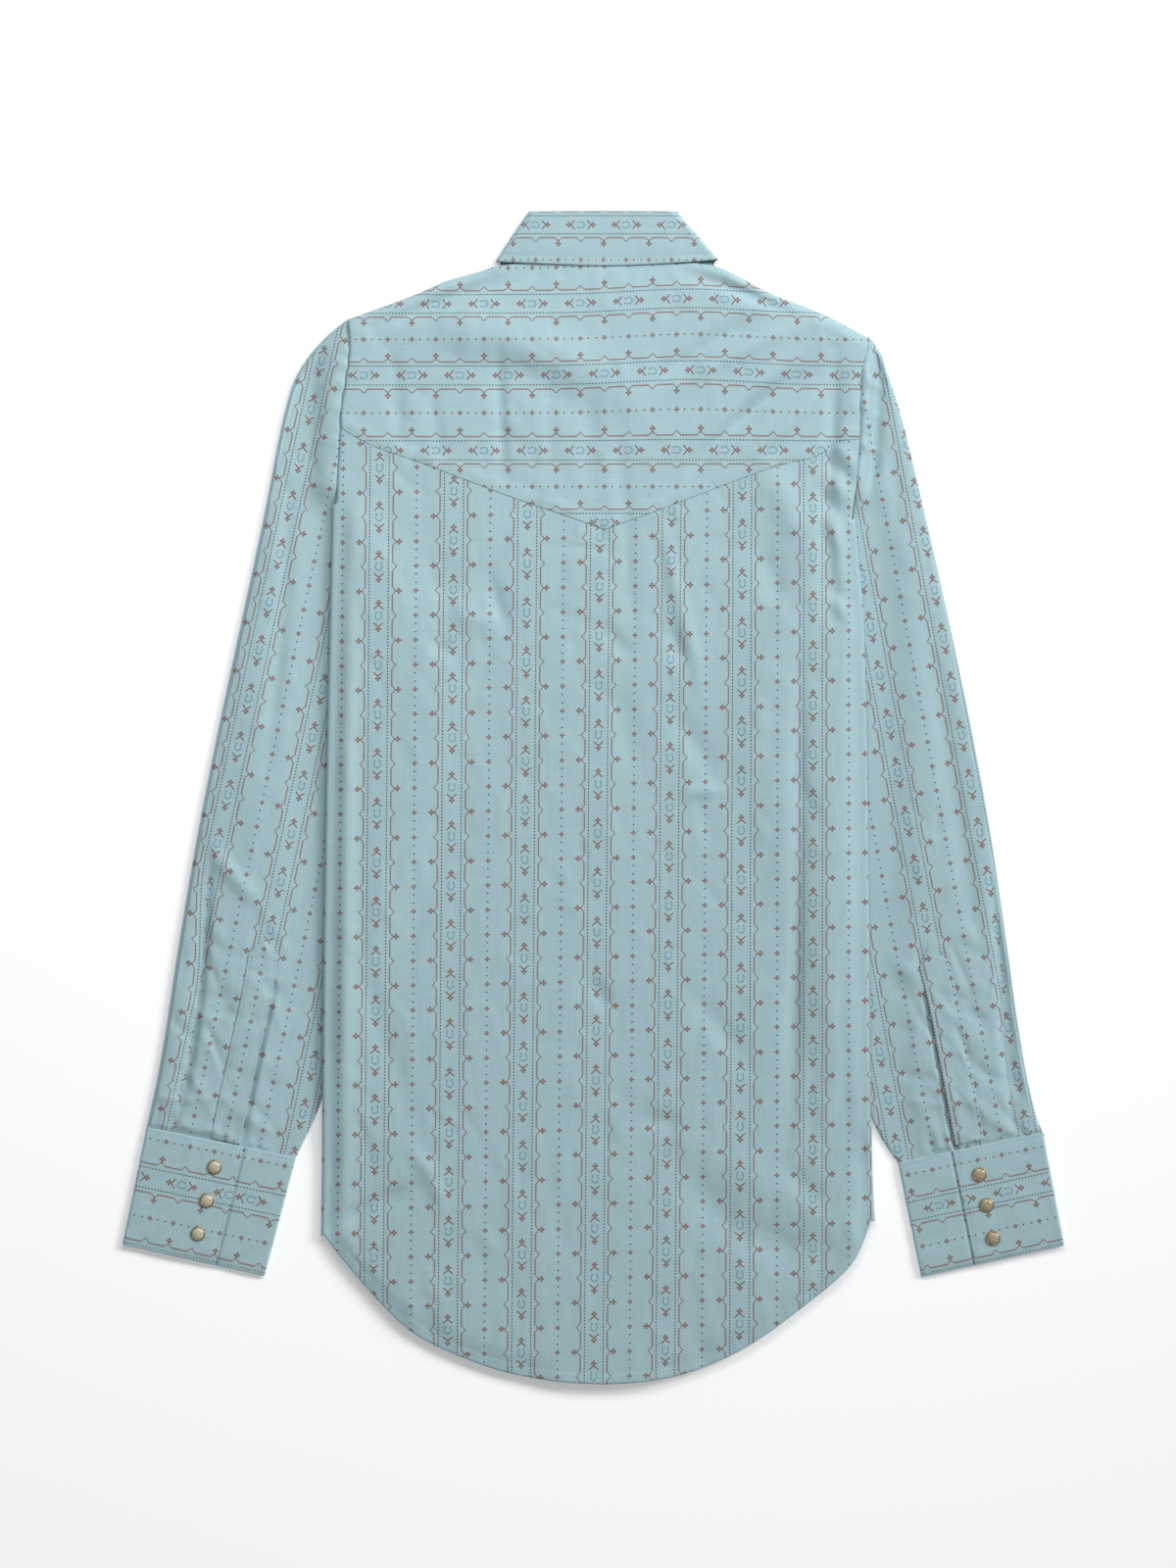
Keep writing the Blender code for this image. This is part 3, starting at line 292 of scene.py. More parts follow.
def crumpled(x, y, seed, count, box, rise, grain):
    """Many small dents and ridges, mostly along the grain, of uneven length, width and height."""
    dice = np.random.default_rng(seed)
    total = np.zeros(x.shape)
    for _ in range(count):
        at_x, at_y = dice.uniform(box[0], box[2]), dice.uniform(box[1], box[3])
        angle = grain + dice.normal(0, 0.6)
        length, width = dice.uniform(7, 26), dice.uniform(2.2, 5.5)
        height = rise * dice.uniform(0.25, 1.0) * dice.choice((-1, 1))
        bend = dice.uniform(-0.014, 0.014)
        near = (np.abs(x - at_x) < 2.2 * length) & (np.abs(y - at_y) < 2.2 * length)
        dx, dy = x[near] - at_x, y[near] - at_y
        ahead = dx * math.cos(angle) + dy * math.sin(angle)
        aside = dy * math.cos(angle) - dx * math.sin(angle) - bend * ahead ** 2
        total[near] += height * np.exp(-(ahead / length) ** 2 - np.minimum((aside / width) ** 2, 30))
    return total


def puckered(line, x, y, rise, pitch, reach):
    """Puckers that a row of stitches draws up beside it."""
    gap, far, _ = near_line(line, x, y, 3 * reach)
    wave = np.sin(2 * math.pi * (far / pitch + 0.45 * np.sin(far / 19)))
    return rise * wave * (0.6 + 0.4 * np.sin(far / 31 + 1)) * np.exp(-np.minimum(gap / reach, 6) ** 2)


def body_bed(x, y):
    """Height of the lowest body layer's underside: it lies on sleeves and collar points."""
    sleeves = BODY_BED * beyond(x, y, TUCK_LEFT, TUCK_RIGHT, 5, 24)
    neck = NECK_BED * ramp((y - 285) / 18) * ramp((105 - np.abs(x - CENTRE_X)) / 20)
    return np.maximum(sleeves, neck)


def snap_bed(y):
    return SNAP_BED * ramp((y - FRONT_SNAPS_Y[-1] + 145) / 110)


def front_under(x, y, left_side):
    """Underside of a front: over the turned strips at the sides, over the placket at the centre."""
    strips = (2 * LAYER + TURN_SLACK) * beyond(x, y, SEAM_LEFT, SEAM_RIGHT, 14, 26)
    inward = (x - CENTRE_X) if left_side else (CENTRE_X - x)
    centre = ramp((inward + FRONT_PLACKET_HALF + 42) / 30) * ramp((FRONT_PLACKET_HALF + 30 - inward) / 25)
    lift = snap_bed(y) + (LAYER if left_side else 2 * LAYER)
    return body_bed(x, y) + strips + centre * lift


def back_top(x, y):
    """Upper side of the back, yoke and panel."""
    side = beyond(x, y, TUCK_LEFT, TUCK_RIGHT, 0, 40)
    level = BACK_LEVEL + SIDE_LOFT * side + CREASE_GAIN * creased(BACK_CREASES, x, y)
    level += SLACK_RISE * slack(x, y, seed=3, size=SLACK_SPAN)
    level += crumpled(x, y, seed=21, count=DENTS, box=BACK_BOX, rise=DENT_RISE, grain=math.pi / 2)
    inset = np.minimum(x - read_off(np.array(SIDE_LEFT)[:, ::-1], y),
                       read_off(np.array(SIDE_RIGHT)[:, ::-1], y) - x)
    rounding = (1 - ramp(inset / EDGE_ROUNDING)) * ramp((ROUNDED_BELOW - y) / 30)
    level = level * (1 - rounding) + (body_bed(x, y) + EDGE_HEIGHT) * rounding
    above_hem = y - read_off(HEM_LEFT + HEM_RIGHT[1:], x)
    drop = (1 - ramp(above_hem / HEM_FALL)) * ramp((np.abs(x - CENTRE_X) - 30) / 30)
    level = level - (level - HEM_LEVEL) * HEM_SETTLE * drop
    fronts = np.maximum(front_under(x, y, True), front_under(x, y, False))
    return soft_max(level, fronts + WALL + LAY + CLOTH + PIECE_GAP)


def across_body(left, right, half_columns=76):
    """A border across the body, with a point at the centre."""
    return np.concatenate([spaced(rounded(left), half_columns), spaced(rounded(right), half_columns)[1:]])


def turned_side(sheet, cut, rows, outward, under_z, arc_steps, strip_steps):
    """Columns that turn under at a side, and their cut: an arc, then a strip to the side seam.

    Only the lower rows turn.  Above them, along the armhole, the points are missing.
    """
    column = 0 if outward < 0 else -1
    edge = sheet[:, [column]]
    x, y, z = (edge[:rows, :, k] for k in range(3))
    beneath = under_z(x, y)
    radius, middle = (z - beneath) / 2, (z + beneath) / 2
    angles = np.linspace(0, math.pi, arc_steps + 1)[1:-1]
    arc = [x + outward * radius * np.sin(angles), y + 0 * angles, middle + radius * np.cos(angles)]
    strip = np.linspace(0, TURNED, strip_steps)
    y_low = y[0] + STRIP_HEM_RISE * strip / TURNED
    y_high = y[-1] - UNDERARM_DROP * (strip / TURNED) ** ARMHOLE_CURVE
    px, py = x - outward * strip, y_low + (y_high - y_low) * (y - y[0]) / (y[-1] - y[0])
    turned = np.full((len(sheet), len(angles) + strip_steps, 3), np.nan)
    turned[:rows] = np.concatenate([np.dstack(arc), np.dstack([px, py, under_z(px, py)])], axis=1)
    steps = np.diff(np.concatenate([edge, turned], axis=1), axis=1)
    around = np.cumsum(np.linalg.norm(steps, axis=2), axis=1)
    return turned, cut[:, [column]] + np.dstack([outward * around, turned[:, :, 1] - edge[:, :, 1]])


def made(name, points, faces, *finishes):
    """A named object from points in millimetres."""
    mesh = bpy.data.meshes.new(name)
    mesh.from_pydata((np.array(points) * MM).tolist(), [], faces)
    for finish in finishes:
        mesh.materials.append(finish)
    mesh.shade_smooth()
    piece = bpy.data.objects.new(name, mesh)
    bpy.context.scene.collection.objects.link(piece)
    return piece


def cloth(name, grid, cut, finish, wall=CLOTH, ring=False, flip=False):
    """A piece of cloth: a sheet through rows of points, with where each was cut from the print.

    A missing point (nan) leaves its faces out.  The wall goes inwards from the sheet.
    """
    rows, columns = grid.shape[:2]
    there = ~np.isnan(grid[:, :, 0])
    number = np.full((rows, columns), -1)
    number[there] = np.arange(there.sum())
    i, j = np.meshgrid(np.arange(rows - 1), np.arange(columns if ring else columns - 1), indexing="ij")
    k = (j + 1) % columns
    faces = np.stack([number[i, j], number[i, k], number[i + 1, k], number[i + 1, j]], axis=-1)
    faces = faces.reshape(-1, 4)
    faces = faces[faces.min(axis=1) >= 0]
    if flip:
        faces = faces[:, ::-1]
    piece = made(name, grid[there], faces.tolist(), finish)
    layer = piece.data.uv_layers.new(name="Cut")
    layer.uv.foreach_set("vector", (cut[there][faces.ravel()] * MM).astype(np.float32).ravel())
    thick = piece.modifiers.new("Cloth", "SOLIDIFY")
    thick.thickness = wall * MM
    thick.offset = -1
    return piece


def reckon(tree, kind, *values, clamp=False):
    """One step of arithmetic in a material; each value is a number or another step."""
    step = tree.nodes.new("ShaderNodeMath")
    step.operation = kind
    step.use_clamp = clamp
    for place, value in zip(step.inputs, values):
        if isinstance(value, (int, float)):
            place.default_value = value
        else:
            tree.links.new(value, place)
    return step.outputs[0]


# The print's chart: distances across a band from its middle line, and sizes along it
DASH_ROW, DASH_PITCH, DASH_HALF = 7.05, 2.35, 0.42
DOT_ROW, DOT_PITCH, DOT = 10.1, 1.45, 0.62
PEAK, PEAK_HALF = 3.0, 3.1           # the dotted line swings out beside the horseshoe,
NOTCH, NOTCH_HALF = 2.4, 3.0         # and again between two of them, under a sprig
SPRIG_ROW = 14.7
ARM_FLOWER, ARM_TIP, ARM_SLOPE, ARM_LENGTH, ARM_HALF = 9.6, 7.9, 0.8, 3.5, 0.52
LONE_FLOWER, BEAD_AT = 0.85, 6.0
SHOE_WIDE, SHOE_LONG, SHOE_GAP, HEEL_AT, HEEL_OUT = 2.5, 2.95, 1.2, 2.75, 2.6


def printed_poplin():
    """Pale aqua poplin with a small charted stripe: dotted bands, little flowers and a horseshoe.

    The chart is in millimetres.  `p` is the distance across a band from its middle, `q` along it
    from the middle of a horseshoe; every other band is half a repeat further on.
    """
    finish = bpy.data.materials.new("printed_poplin")
    finish.use_nodes = True
    tree = finish.node_tree
    shader = tree.nodes["Principled BSDF"]

    def r(kind, *values, clamp=False):
        return reckon(tree, kind, *values, clamp=clamp)

    def mask(value, size, soft=0.22):
        """1 where value is under size, 0 over it, with a soft edge."""
        return r("ADD", r("DIVIDE", r("SUBTRACT", size, value), soft), 0.5, clamp=True)

    def over(value, size):
        """1 where value is over size, with a soft edge."""
        return mask(r("SUBTRACT", size, value), 0.0)

    def centred(value, size):
        """Repeats value over size, from -size/2 to size/2."""
        return r("SUBTRACT", r("FLOORED_MODULO", r("ADD", value, size / 2), size), size / 2)

    def from_row(value, row):
        return r("ABSOLUTE", r("SUBTRACT", value, row))

    def from_point(a, b):
        return r("SQRT", r("ADD", r("POWER", a, 2.0), r("POWER", b, 2.0)))

    def swing(distance, half, size):
        """A pointed swing of the dotted line, `size` at its tip and gone at `half`."""
        return r("MULTIPLY", r("MAXIMUM", r("SUBTRACT", 1.0, r("DIVIDE", distance, half)), 0.0), size)

    def flower(a, b, size):
        """Four pointed petals; under 1 inside them."""
        a, b = r("ABSOLUTE", a), r("ABSOLUTE", b)
        long, short = r("MAXIMUM", a, b), r("MINIMUM", a, b)
        petal = r("DIVIDE", from_row(long, 1.3 * size), 1.2 * size)
        return r("ADD", petal, r("DIVIDE", short, 0.9 * size))

    cut = tree.nodes.new("ShaderNodeUVMap")
    cut.uv_map = "Cut"
    split = tree.nodes.new("ShaderNodeSeparateXYZ")
    tree.links.new(cut.outputs[0], split.inputs[0])
    u, v = r("MULTIPLY", split.outputs[0], 1 / MM), r("MULTIPLY", split.outputs[1], 1 / MM)
    band = r("ROUND", r("DIVIDE", u, BAND_PITCH))
    p = from_row(u, r("MULTIPLY", band, BAND_PITCH))
    odd = r("FLOORED_MODULO", band, 2.0)
    q = centred(r("SUBTRACT", v, r("MULTIPLY", odd, REPEAT / 2)), REPEAT)
    far_q = r("ABSOLUTE", q)
    rest = r("SUBTRACT", REPEAT / 2, far_q)

    dashes = r("MINIMUM", mask(from_row(p, DASH_ROW), DASH_HALF),
               mask(r("ABSOLUTE", centred(v, DASH_PITCH)), 0.6))
    line = r("ADD", r("ADD", swing(far_q, PEAK_HALF, PEAK), swing(rest, NOTCH_HALF, NOTCH)), DOT_ROW)
    dotted = mask(from_point(r("SUBTRACT", p, line), centred(v, DOT_PITCH)), DOT, 0.3)

    sprig = flower(r("SUBTRACT", p, SPRIG_ROW), rest, 1.0)
    arm_flower = flower(p, r("SUBTRACT", far_q, ARM_FLOWER), 1.0)
    arm = from_row(far_q, r("SUBTRACT", ARM_TIP, r("MULTIPLY", p, ARM_SLOPE)))
    arms = r("MINIMUM", mask(arm, ARM_HALF), r("MINIMUM", mask(p, ARM_LENGTH), over(p, 0.4)))
    middle = r("SUBTRACT", p, BAND_PITCH / 2)
    from_flower = centred(v, REPEAT / 2)
    lone_flower = flower(middle, from_flower, LONE_FLOWER)
    bead = mask(from_point(middle, r("SUBTRACT", r("ABSOLUTE", from_flower), BEAD_AT)), DOT)

    ring = from_point(r("DIVIDE", p, SHOE_WIDE), r("DIVIDE", q, SHOE_LONG))
    shoe = r("MINIMUM", mask(from_row(ring, 0.95), 0.15, 0.1),
             r("SUBTRACT", 1.0, r("MINIMUM", mask(p, SHOE_GAP), over(q, SHOE_GAP))))
    heel = r("MINIMUM", mask(from_row(q, HEEL_AT), 0.3),
             r("MINIMUM", mask(p, HEEL_OUT), over(p, SHOE_GAP)))
    shoe = r("MAXIMUM", shoe, heel)
    petals = r("MINIMUM", sprig, r("MINIMUM", arm_flower, lone_flower))
    brown = r("MAXIMUM", r("MAXIMUM", mask(petals, 1.0, 0.25), arms), bead)
    russet = r("MAXIMUM", mask(petals, 0.72, 0.3), r("MULTIPLY", arms, 0.5))

    def speckle(scale, stretch, detail=3.0):
        """Unevenness of the yarn, stretched along one thread or the other."""
        move = tree.nodes.new("ShaderNodeMapping")
        move.inputs["Scale"].default_value = stretch
        noise = tree.nodes.new("ShaderNodeTexNoise")
        noise.inputs["Scale"].default_value = scale
        noise.inputs["Detail"].default_value = detail
        tree.links.new(cut.outputs[0], move.inputs[0])
        tree.links.new(move.outputs[0], noise.inputs["Vector"])
        return noise.outputs["Fac"]

    def mixed(share, colour_a, colour_b):
        mix = tree.nodes.new("ShaderNodeMix")
        mix.data_type = "RGBA"
        for place, value in ((0, share), (6, colour_a), (7, colour_b)):
            if isinstance(value, (tuple, float)):
                mix.inputs[place].default_value = value
            else:
                tree.links.new(value, mix.inputs[place])
        return mix.outputs[2]

    warp, weft = speckle(900, (1.0, 0.03, 1.0)), speckle(900, (0.03, 1.0, 1.0))
    yarn = r("ADD", r("MULTIPLY", warp, 0.6), r("MULTIPLY", weft, 0.4))
    cloud = r("MULTIPLY", speckle(16, (1.0, 1.0, 1.0), 5.0), 0.35)
    faded = r("ADD", 0.86, r("MULTIPLY", warp, 0.2))
    colour = mixed(yarn, (0.278, 0.424, 0.460, 1), (0.450, 0.615, 0.655, 1))
    colour = mixed(cloud, colour, (0.378, 0.562, 0.600, 1))
    for share, ink in ((r("MULTIPLY", shoe, 0.85), (0.120, 0.245, 0.350, 1)),
                       (dotted, (0.240, 0.085, 0.065, 1)),
                       (brown, (0.100, 0.055, 0.048, 1)),
                       (russet, (0.31, 0.108, 0.066, 1)),
                       (dashes, (0.060, 0.050, 0.050, 1))):
        colour = mixed(r("MULTIPLY", share, faded, clamp=True), colour, ink)
    tree.links.new(colour, shader.inputs["Base Color"])

    thread_u = r("SINE", r("MULTIPLY", u, 2 * math.pi / 0.42))
    thread_v = r("SINE", r("MULTIPLY", v, 2 * math.pi / 0.46))
    weave = r("ADD", r("MULTIPLY", r("MULTIPLY", thread_u, thread_v), 0.5), r("MULTIPLY", warp, 0.6))
    rumple = speckle(95, (1.0, 1.0, 1.0), 3.0)
    bump = tree.nodes.new("ShaderNodeBump")
    bump.inputs["Strength"].default_value = 0.55
    bump.inputs["Distance"].default_value = 0.0008
    tree.links.new(r("ADD", r("MULTIPLY", weave, 0.05), r("MULTIPLY", rumple, 0.55)), bump.inputs["Height"])
    tree.links.new(bump.outputs[0], shader.inputs["Normal"])
    tree.links.new(r("ADD", 0.80, r("MULTIPLY", yarn, 0.14)), shader.inputs["Roughness"])
    shader.inputs["Specular IOR Level"].default_value = 0.22
    shader.inputs["Sheen Weight"].default_value = 0.12
    shader.inputs["Sheen Roughness"].default_value = 0.45
    shader.inputs["Sheen Tint"].default_value = (0.9, 0.97, 1.0, 1)
    return finish


def two_toned(name, dark, light, scale, sockets, where="Object", span=(0, 1), detail=2, distortion=0):
    """A finish that drifts between two tones, with the shader's sockets as given."""
    finish = bpy.data.materials.new(name)
    finish.use_nodes = True
    tree = finish.node_tree
    shader = tree.nodes["Principled BSDF"]
    place = tree.nodes.new("ShaderNodeTexCoord")
    drift = tree.nodes.new("ShaderNodeTexNoise")
    for socket, value in (("Scale", scale), ("Detail", detail), ("Distortion", distortion)):
        drift.inputs[socket].default_value = value
    tones = tree.nodes.new("ShaderNodeValToRGB")
    for stop, colour, at in zip(tones.color_ramp.elements, (dark, light), span):
        stop.position = at
        stop.color = (*colour, 1)
    tree.links.new(place.outputs[where], drift.inputs["Vector"])
    tree.links.new(drift.outputs["Fac"], tones.inputs[0])
    tree.links.new(tones.outputs[0], shader.inputs["Base Color"])
    for socket, value in sockets.items():
        shader.inputs[socket].default_value = value
    return finish


poplin = printed_poplin()
thread = two_toned("topstitch_thread", (0.36, 0.52, 0.54), (0.58, 0.74, 0.75), 1500, {"Roughness": 0.55})

THREAD = 0.19                        # half the thread's thickness
STITCH, STITCH_PITCH, STITCH_LIFT = 2.1, 2.75, 0.05
ROUND_THREAD = 5                     # sides of a stitch
STITCH_RINGS = [(0, 0.45, -0.16), (0.2, 1, 0.04), (0.8, 1, 0.04), (1, 0.45, -0.16)]  # share, size, rise


def surface_of(piece):
    """The outer face of a piece of cloth, to lay something on."""
    mesh = piece.data
    return BVHTree.FromPolygons([vertex.co.copy() for vertex in mesh.vertices],
                                [list(polygon.vertices) for polygon in mesh.polygons])


def height_on(surface, x, y):
    """Height of a surface seen from above, or None beside it."""
    hit = surface.ray_cast(Vector((x * MM, y * MM, 1)), Vector((0, 0, -1)))[0]
    return hit.z / MM if hit else None


def laid_on(surface, line):
    """The line on a surface, a point every millimetre, lifted a little off it."""
    points = [(x, y, height_on(surface, x, y)) for x, y in spaced(line, max(2, int(run_along(line)[-1])))]
    return np.array([(x, y, z + STITCH_LIFT) for x, y, z in points if z is not None])


def beside(line, distance):
    """The line moved sideways, to its left if the distance is positive."""
    points = np.array(line, dtype=float)
    ahead = unit(np.gradient(points, axis=0))
    return points + distance * np.stack([-ahead[:, 1], ahead[:, 0]], axis=1)


def stitched(name, surface, lines):
    """Rows of lockstitch: short lengths of thread that dip into the cloth at both ends."""
    n = ROUND_THREAD
    marks = np.array([share for share, _, _ in STITCH_RINGS])
    points, faces = [], []
    for path in (laid_on(surface, line) for line in lines):
        along = run_along(path)
        for start in np.arange(0.4, along[-1] - STITCH, STITCH_PITCH):
            spots = np.stack([np.interp(start + STITCH * marks, along, column) for column in path.T], axis=1)
            heading = unit(spots[-1] - spots[0])
            aside = unit(np.cross(heading, (0, 0, 1)))
            above = np.cross(aside, heading)
            base = len(points)
            for spot, (_, size, rise) in zip(spots, STITCH_RINGS):
                for angle in np.radians(np.arange(n) * 360 / n):
                    out = aside * math.cos(angle) + above * math.sin(angle)
                    points.append(spot + THREAD * size * out + above * rise)
            last = base + n * (len(spots) - 1)
            for ring in range(base, last, n):
                faces += [(ring + k, ring + (k + 1) % n, ring + n + (k + 1) % n, ring + n + k)
                          for k in range(n)]
            faces += [tuple(range(base + n - 1, base - 1, -1)), tuple(range(last, last + n))]
    return made(name, points, faces, thread)


def back_cut(x, y):
    """Where a point of the back panel was cut from the print."""
    bent = x + 0.0075 * (183 - y) * ramp((160 - x) / 110)
    bands = (np.arange(len(BANDS_X)) - 4) * BAND_PITCH
    return np.interp(bent, BANDS_X, bands), y - 0.021 * (x + 157) - 151.2


HEM_LINE = np.concatenate([rounded(HEM_LEFT), rounded(HEM_RIGHT)[1:]])
YOKE_SEAM_LINE = np.concatenate([rounded(YOKE_SEAM_LEFT), rounded(YOKE_SEAM_RIGHT)[1:]])


def back_panel_top(x, y):
    """The panel's own upper side: thicker at the folded hem, puckered along its seams."""
    from_hem = near_line(HEM_LINE, x, y, 30)[0]
    hem = 0.42 * (1 - ramp((from_hem - HEM_FOLD) / 0.9)) - 0.5 * (1 - ramp(from_hem / 0.9))
    groove = 0.22 * np.exp(-((from_hem - HEM_FOLD + 0.8) / 0.8) ** 2)
    puckers = puckered(HEM_LINE, x, y, rise=0.22, pitch=11, reach=9)
    puckers += puckered(YOKE_SEAM_LINE, x, y, rise=0.2, pitch=8.5, reach=8)
    return back_top(x, y) + hem - groove + puckers - 0.12


low_shares = np.concatenate([np.linspace(0, 0.014, 10), np.linspace(0.014, 1, 200)[1:]])
low = patch(across_body(HEM_LEFT, HEM_RIGHT), across_body(BLADE_LEFT, BLADE_RIGHT),
            spaced(rounded(SIDE_LEFT), low_shares), spaced(rounded(SIDE_RIGHT), low_shares), low_shares)
high_shares = np.concatenate([np.linspace(0, 0.9, 17), np.linspace(0.9, 1, 5)[1:]])
high = patch(across_body(BLADE_LEFT, BLADE_RIGHT), across_body(YOKE_SEAM_LEFT, YOKE_SEAM_RIGHT),
             spaced(ARMHOLE_LEFT_LOW, high_shares), spaced(ARMHOLE_RIGHT_LOW, high_shares), high_shares)
plan = np.concatenate([low, high[1:], high[-1:] + np.array(UNDER_YOKE)])
sheet = np.dstack([plan, back_panel_top(plan[:, :, 0], plan[:, :, 1])])
sheet[-2:, :, 2] -= 0.25
armhole_roll = 0.6 * np.exp(-np.arange(6) / 1.5)
for k, fall in enumerate(armhole_roll):
    sheet[len(low_shares) - 1:, [k, -1 - k], 2] -= fall
cut = np.dstack(back_cut(plan[:, :, 0], plan[:, :, 1]))
left_turned, right_turned = (turned_side(sheet, cut, len(low_shares), outward, body_bed,
                                         arc_steps=8, strip_steps=20) for outward in (-1, 1))
grid, cut = (np.concatenate([left[:, ::-1], middle, right], axis=1)
             for left, middle, right in zip(left_turned, (sheet, cut), right_turned))
back_panel = cloth("back_panel_cloth", grid, cut, poplin)
hem_stitches = stitched("back_hem_stitches", surface_of(back_panel), [beside(HEM_LINE, HEM_FOLD - 0.8)[4:-4]])
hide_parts("back_panel")
for piece in (back_panel, hem_stitches):
    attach(piece, "root")

# ---------------------------------------------------------------------------------------------
# Yoke.  The pointed back yoke, cut with the print lying across it.  Its lower edge is turned in,
# lapped over the panel and stitched close to the edge.  It falls to the shoulder seams at the
# sides, and runs up under the collar at the neck.

ARMHOLE_LEFT_HIGH = [(-185.7, 271.6), (-185.4, 286), (-181.8, 305), (-178.4, 330), (-180.4, 351)]
ARMHOLE_RIGHT_HIGH = [(195.5, 262.7), (196.2, 293), (197, 314), (201.5, 330), (203, 337)]
SHOULDER_LEFT = [(-180.4, 351), (-128, 370), (-111, 378.6), (-81, 386.8), (-68, 391), (8, 397.5)]
SHOULDER_RIGHT = [(8, 397.5), (84, 392.2), (99, 386.4), (114, 378.6), (129, 370), (168, 355.5), (203, 337)]
SHOULDER_EDGE = 2.4  # upper side of the yoke at the shoulder seam
NECK_EDGE = 5.6      # upper side of the yoke at the neck seam
YOKE_BANDS_Y = [148.6, 201.5, 254.4, 309.7, 362, 415]
YOKE_STITCH, ARMHOLE_STITCH = 1.7, 7
NECK_FALL, SHOULDER_FALL = 45, 11  # how far from those seams the yoke begins to fall
NECK_HALF = 92       # half the width of the neck seam


def yoke_top(x, y):
    """Upper side of the yoke, brought down at the shoulders and the neck."""
    inside = read_off(SHOULDER_LEFT + SHOULDER_RIGHT[1:], x) - y
    neck = ramp((NECK_HALF - np.abs(x - CENTRE_X)) / 12)
    rim = NECK_EDGE * neck + (SHOULDER_EDGE + body_bed(x, y)) * (1 - neck)
    reach = NECK_FALL * neck + SHOULDER_FALL * (1 - neck)
    drop = 1 - np.sqrt(np.clip(1 - (1 - np.clip(inside / reach, 0, 1)) ** 2, 0, 1))
    return back_top(x, y) * (1 - drop) + rim * drop


def yoke_piece_top(x, y):
    """The yoke's own upper side: raised where it laps the panel, rolled down at its very edge."""
    gap = near_line(YOKE_SEAM_LINE, x, y, 30)[0]
    lap = 0.5 * (1 - ramp((gap - 6) / 6)) - 0.3 * np.exp(-((gap - YOKE_STITCH) / 0.8) ** 2)
    return (yoke_top(x, y) + lap - 0.45 * (1 - ramp(gap / 0.8))
            + puckered(YOKE_SEAM_LINE, x, y, rise=0.26, pitch=8.5, reach=8))


def yoke_cut(x, y):
    bow = 4 * np.exp(-((x - 70) / 60) ** 2) * ramp((y - 240) / 70)
    bands = (np.arange(len(YOKE_BANDS_Y)) - 4) * BAND_PITCH
    return np.interp(y - bow, YOKE_BANDS_Y, bands), -(x + 9.6) * 1.025


yoke_shares = np.concatenate([[0, 0.003, 0.007], np.linspace(0.012, 0.08, 9), np.linspace(0.08, 1, 66)[1:]])
plan = patch(across_body(YOKE_SEAM_LEFT, YOKE_SEAM_RIGHT), across_body(SHOULDER_LEFT, SHOULDER_RIGHT),
             spaced(rounded(ARMHOLE_LEFT_HIGH), yoke_shares),
             spaced(rounded(ARMHOLE_RIGHT_HIGH), yoke_shares),
             yoke_shares)
sheet = np.dstack([plan, yoke_piece_top(plan[:, :, 0], plan[:, :, 1])])
for k, fall in enumerate(armhole_roll):
    sheet[:, [k, -1 - k], 2] -= fall
yoke = cloth("back_yoke_cloth", sheet, np.dstack(yoke_cut(plan[:, :, 0], plan[:, :, 1])), poplin)
yoke_stitches = stitched("back_yoke_stitches", surface_of(yoke), [
    beside(YOKE_SEAM_LINE, YOKE_STITCH)[3:-3],
    beside(rounded(ARMHOLE_LEFT_HIGH), -ARMHOLE_STITCH)[2:-6],
    beside(rounded(ARMHOLE_RIGHT_HIGH), ARMHOLE_STITCH)[2:-6]])
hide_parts("back_yoke")
for piece in (yoke, yoke_stitches):
    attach(piece, "root")

# ---------------------------------------------------------------------------------------------
# Fronts.  The two fronts lie under the back, right side down, cut lengthwise like it.  Each turns
# at the side to meet the back's side seam, and the left one laps the right at the middle.

NECKLINE_LEFT = [(-68, 389), (-52, 369), (-24, 350), (8, 344), (26, 345.5)]
NECKLINE_RIGHT = [(-10, 345.5), (8, 344), (40, 350), (68, 369), (84, 390)]
FRONT_ARMHOLE_LEFT = [(-188.6, 215), (-186.8, 243), (-184.8, 275), (-180.6, 305), (-177.2, 330),
                      (-179.2, 348.5)]
FRONT_ARMHOLE_RIGHT = [(189.3, 204), (192.3, 230), (194.8, 262), (195.4, 293), (196, 314), (201.5, 334.5)]
FRONT_SHOULDER_LEFT = [(-179.2, 348.5), (-128, 368), (-111, 376.6), (-81, 384.8), (-68, 389)]
FRONT_SHOULDER_RIGHT = [(84, 390), (99, 384.5), (129, 368), (168, 353.5), (201.5, 334.5)]
FRONT_RISE = 12      # how much shorter the fronts are than the back
FRONT_COLUMNS, FRONT_LOW_ROWS, FRONT_HIGH_ROWS = 44, 130, 34


def strip_under(x, y):
    return body_bed(x, y) + LAYER


def front_hem(points):
    return [(x, y + FRONT_RISE * ramp((188 - abs(x)) / 60)) for x, y in rounded(points, 2)]


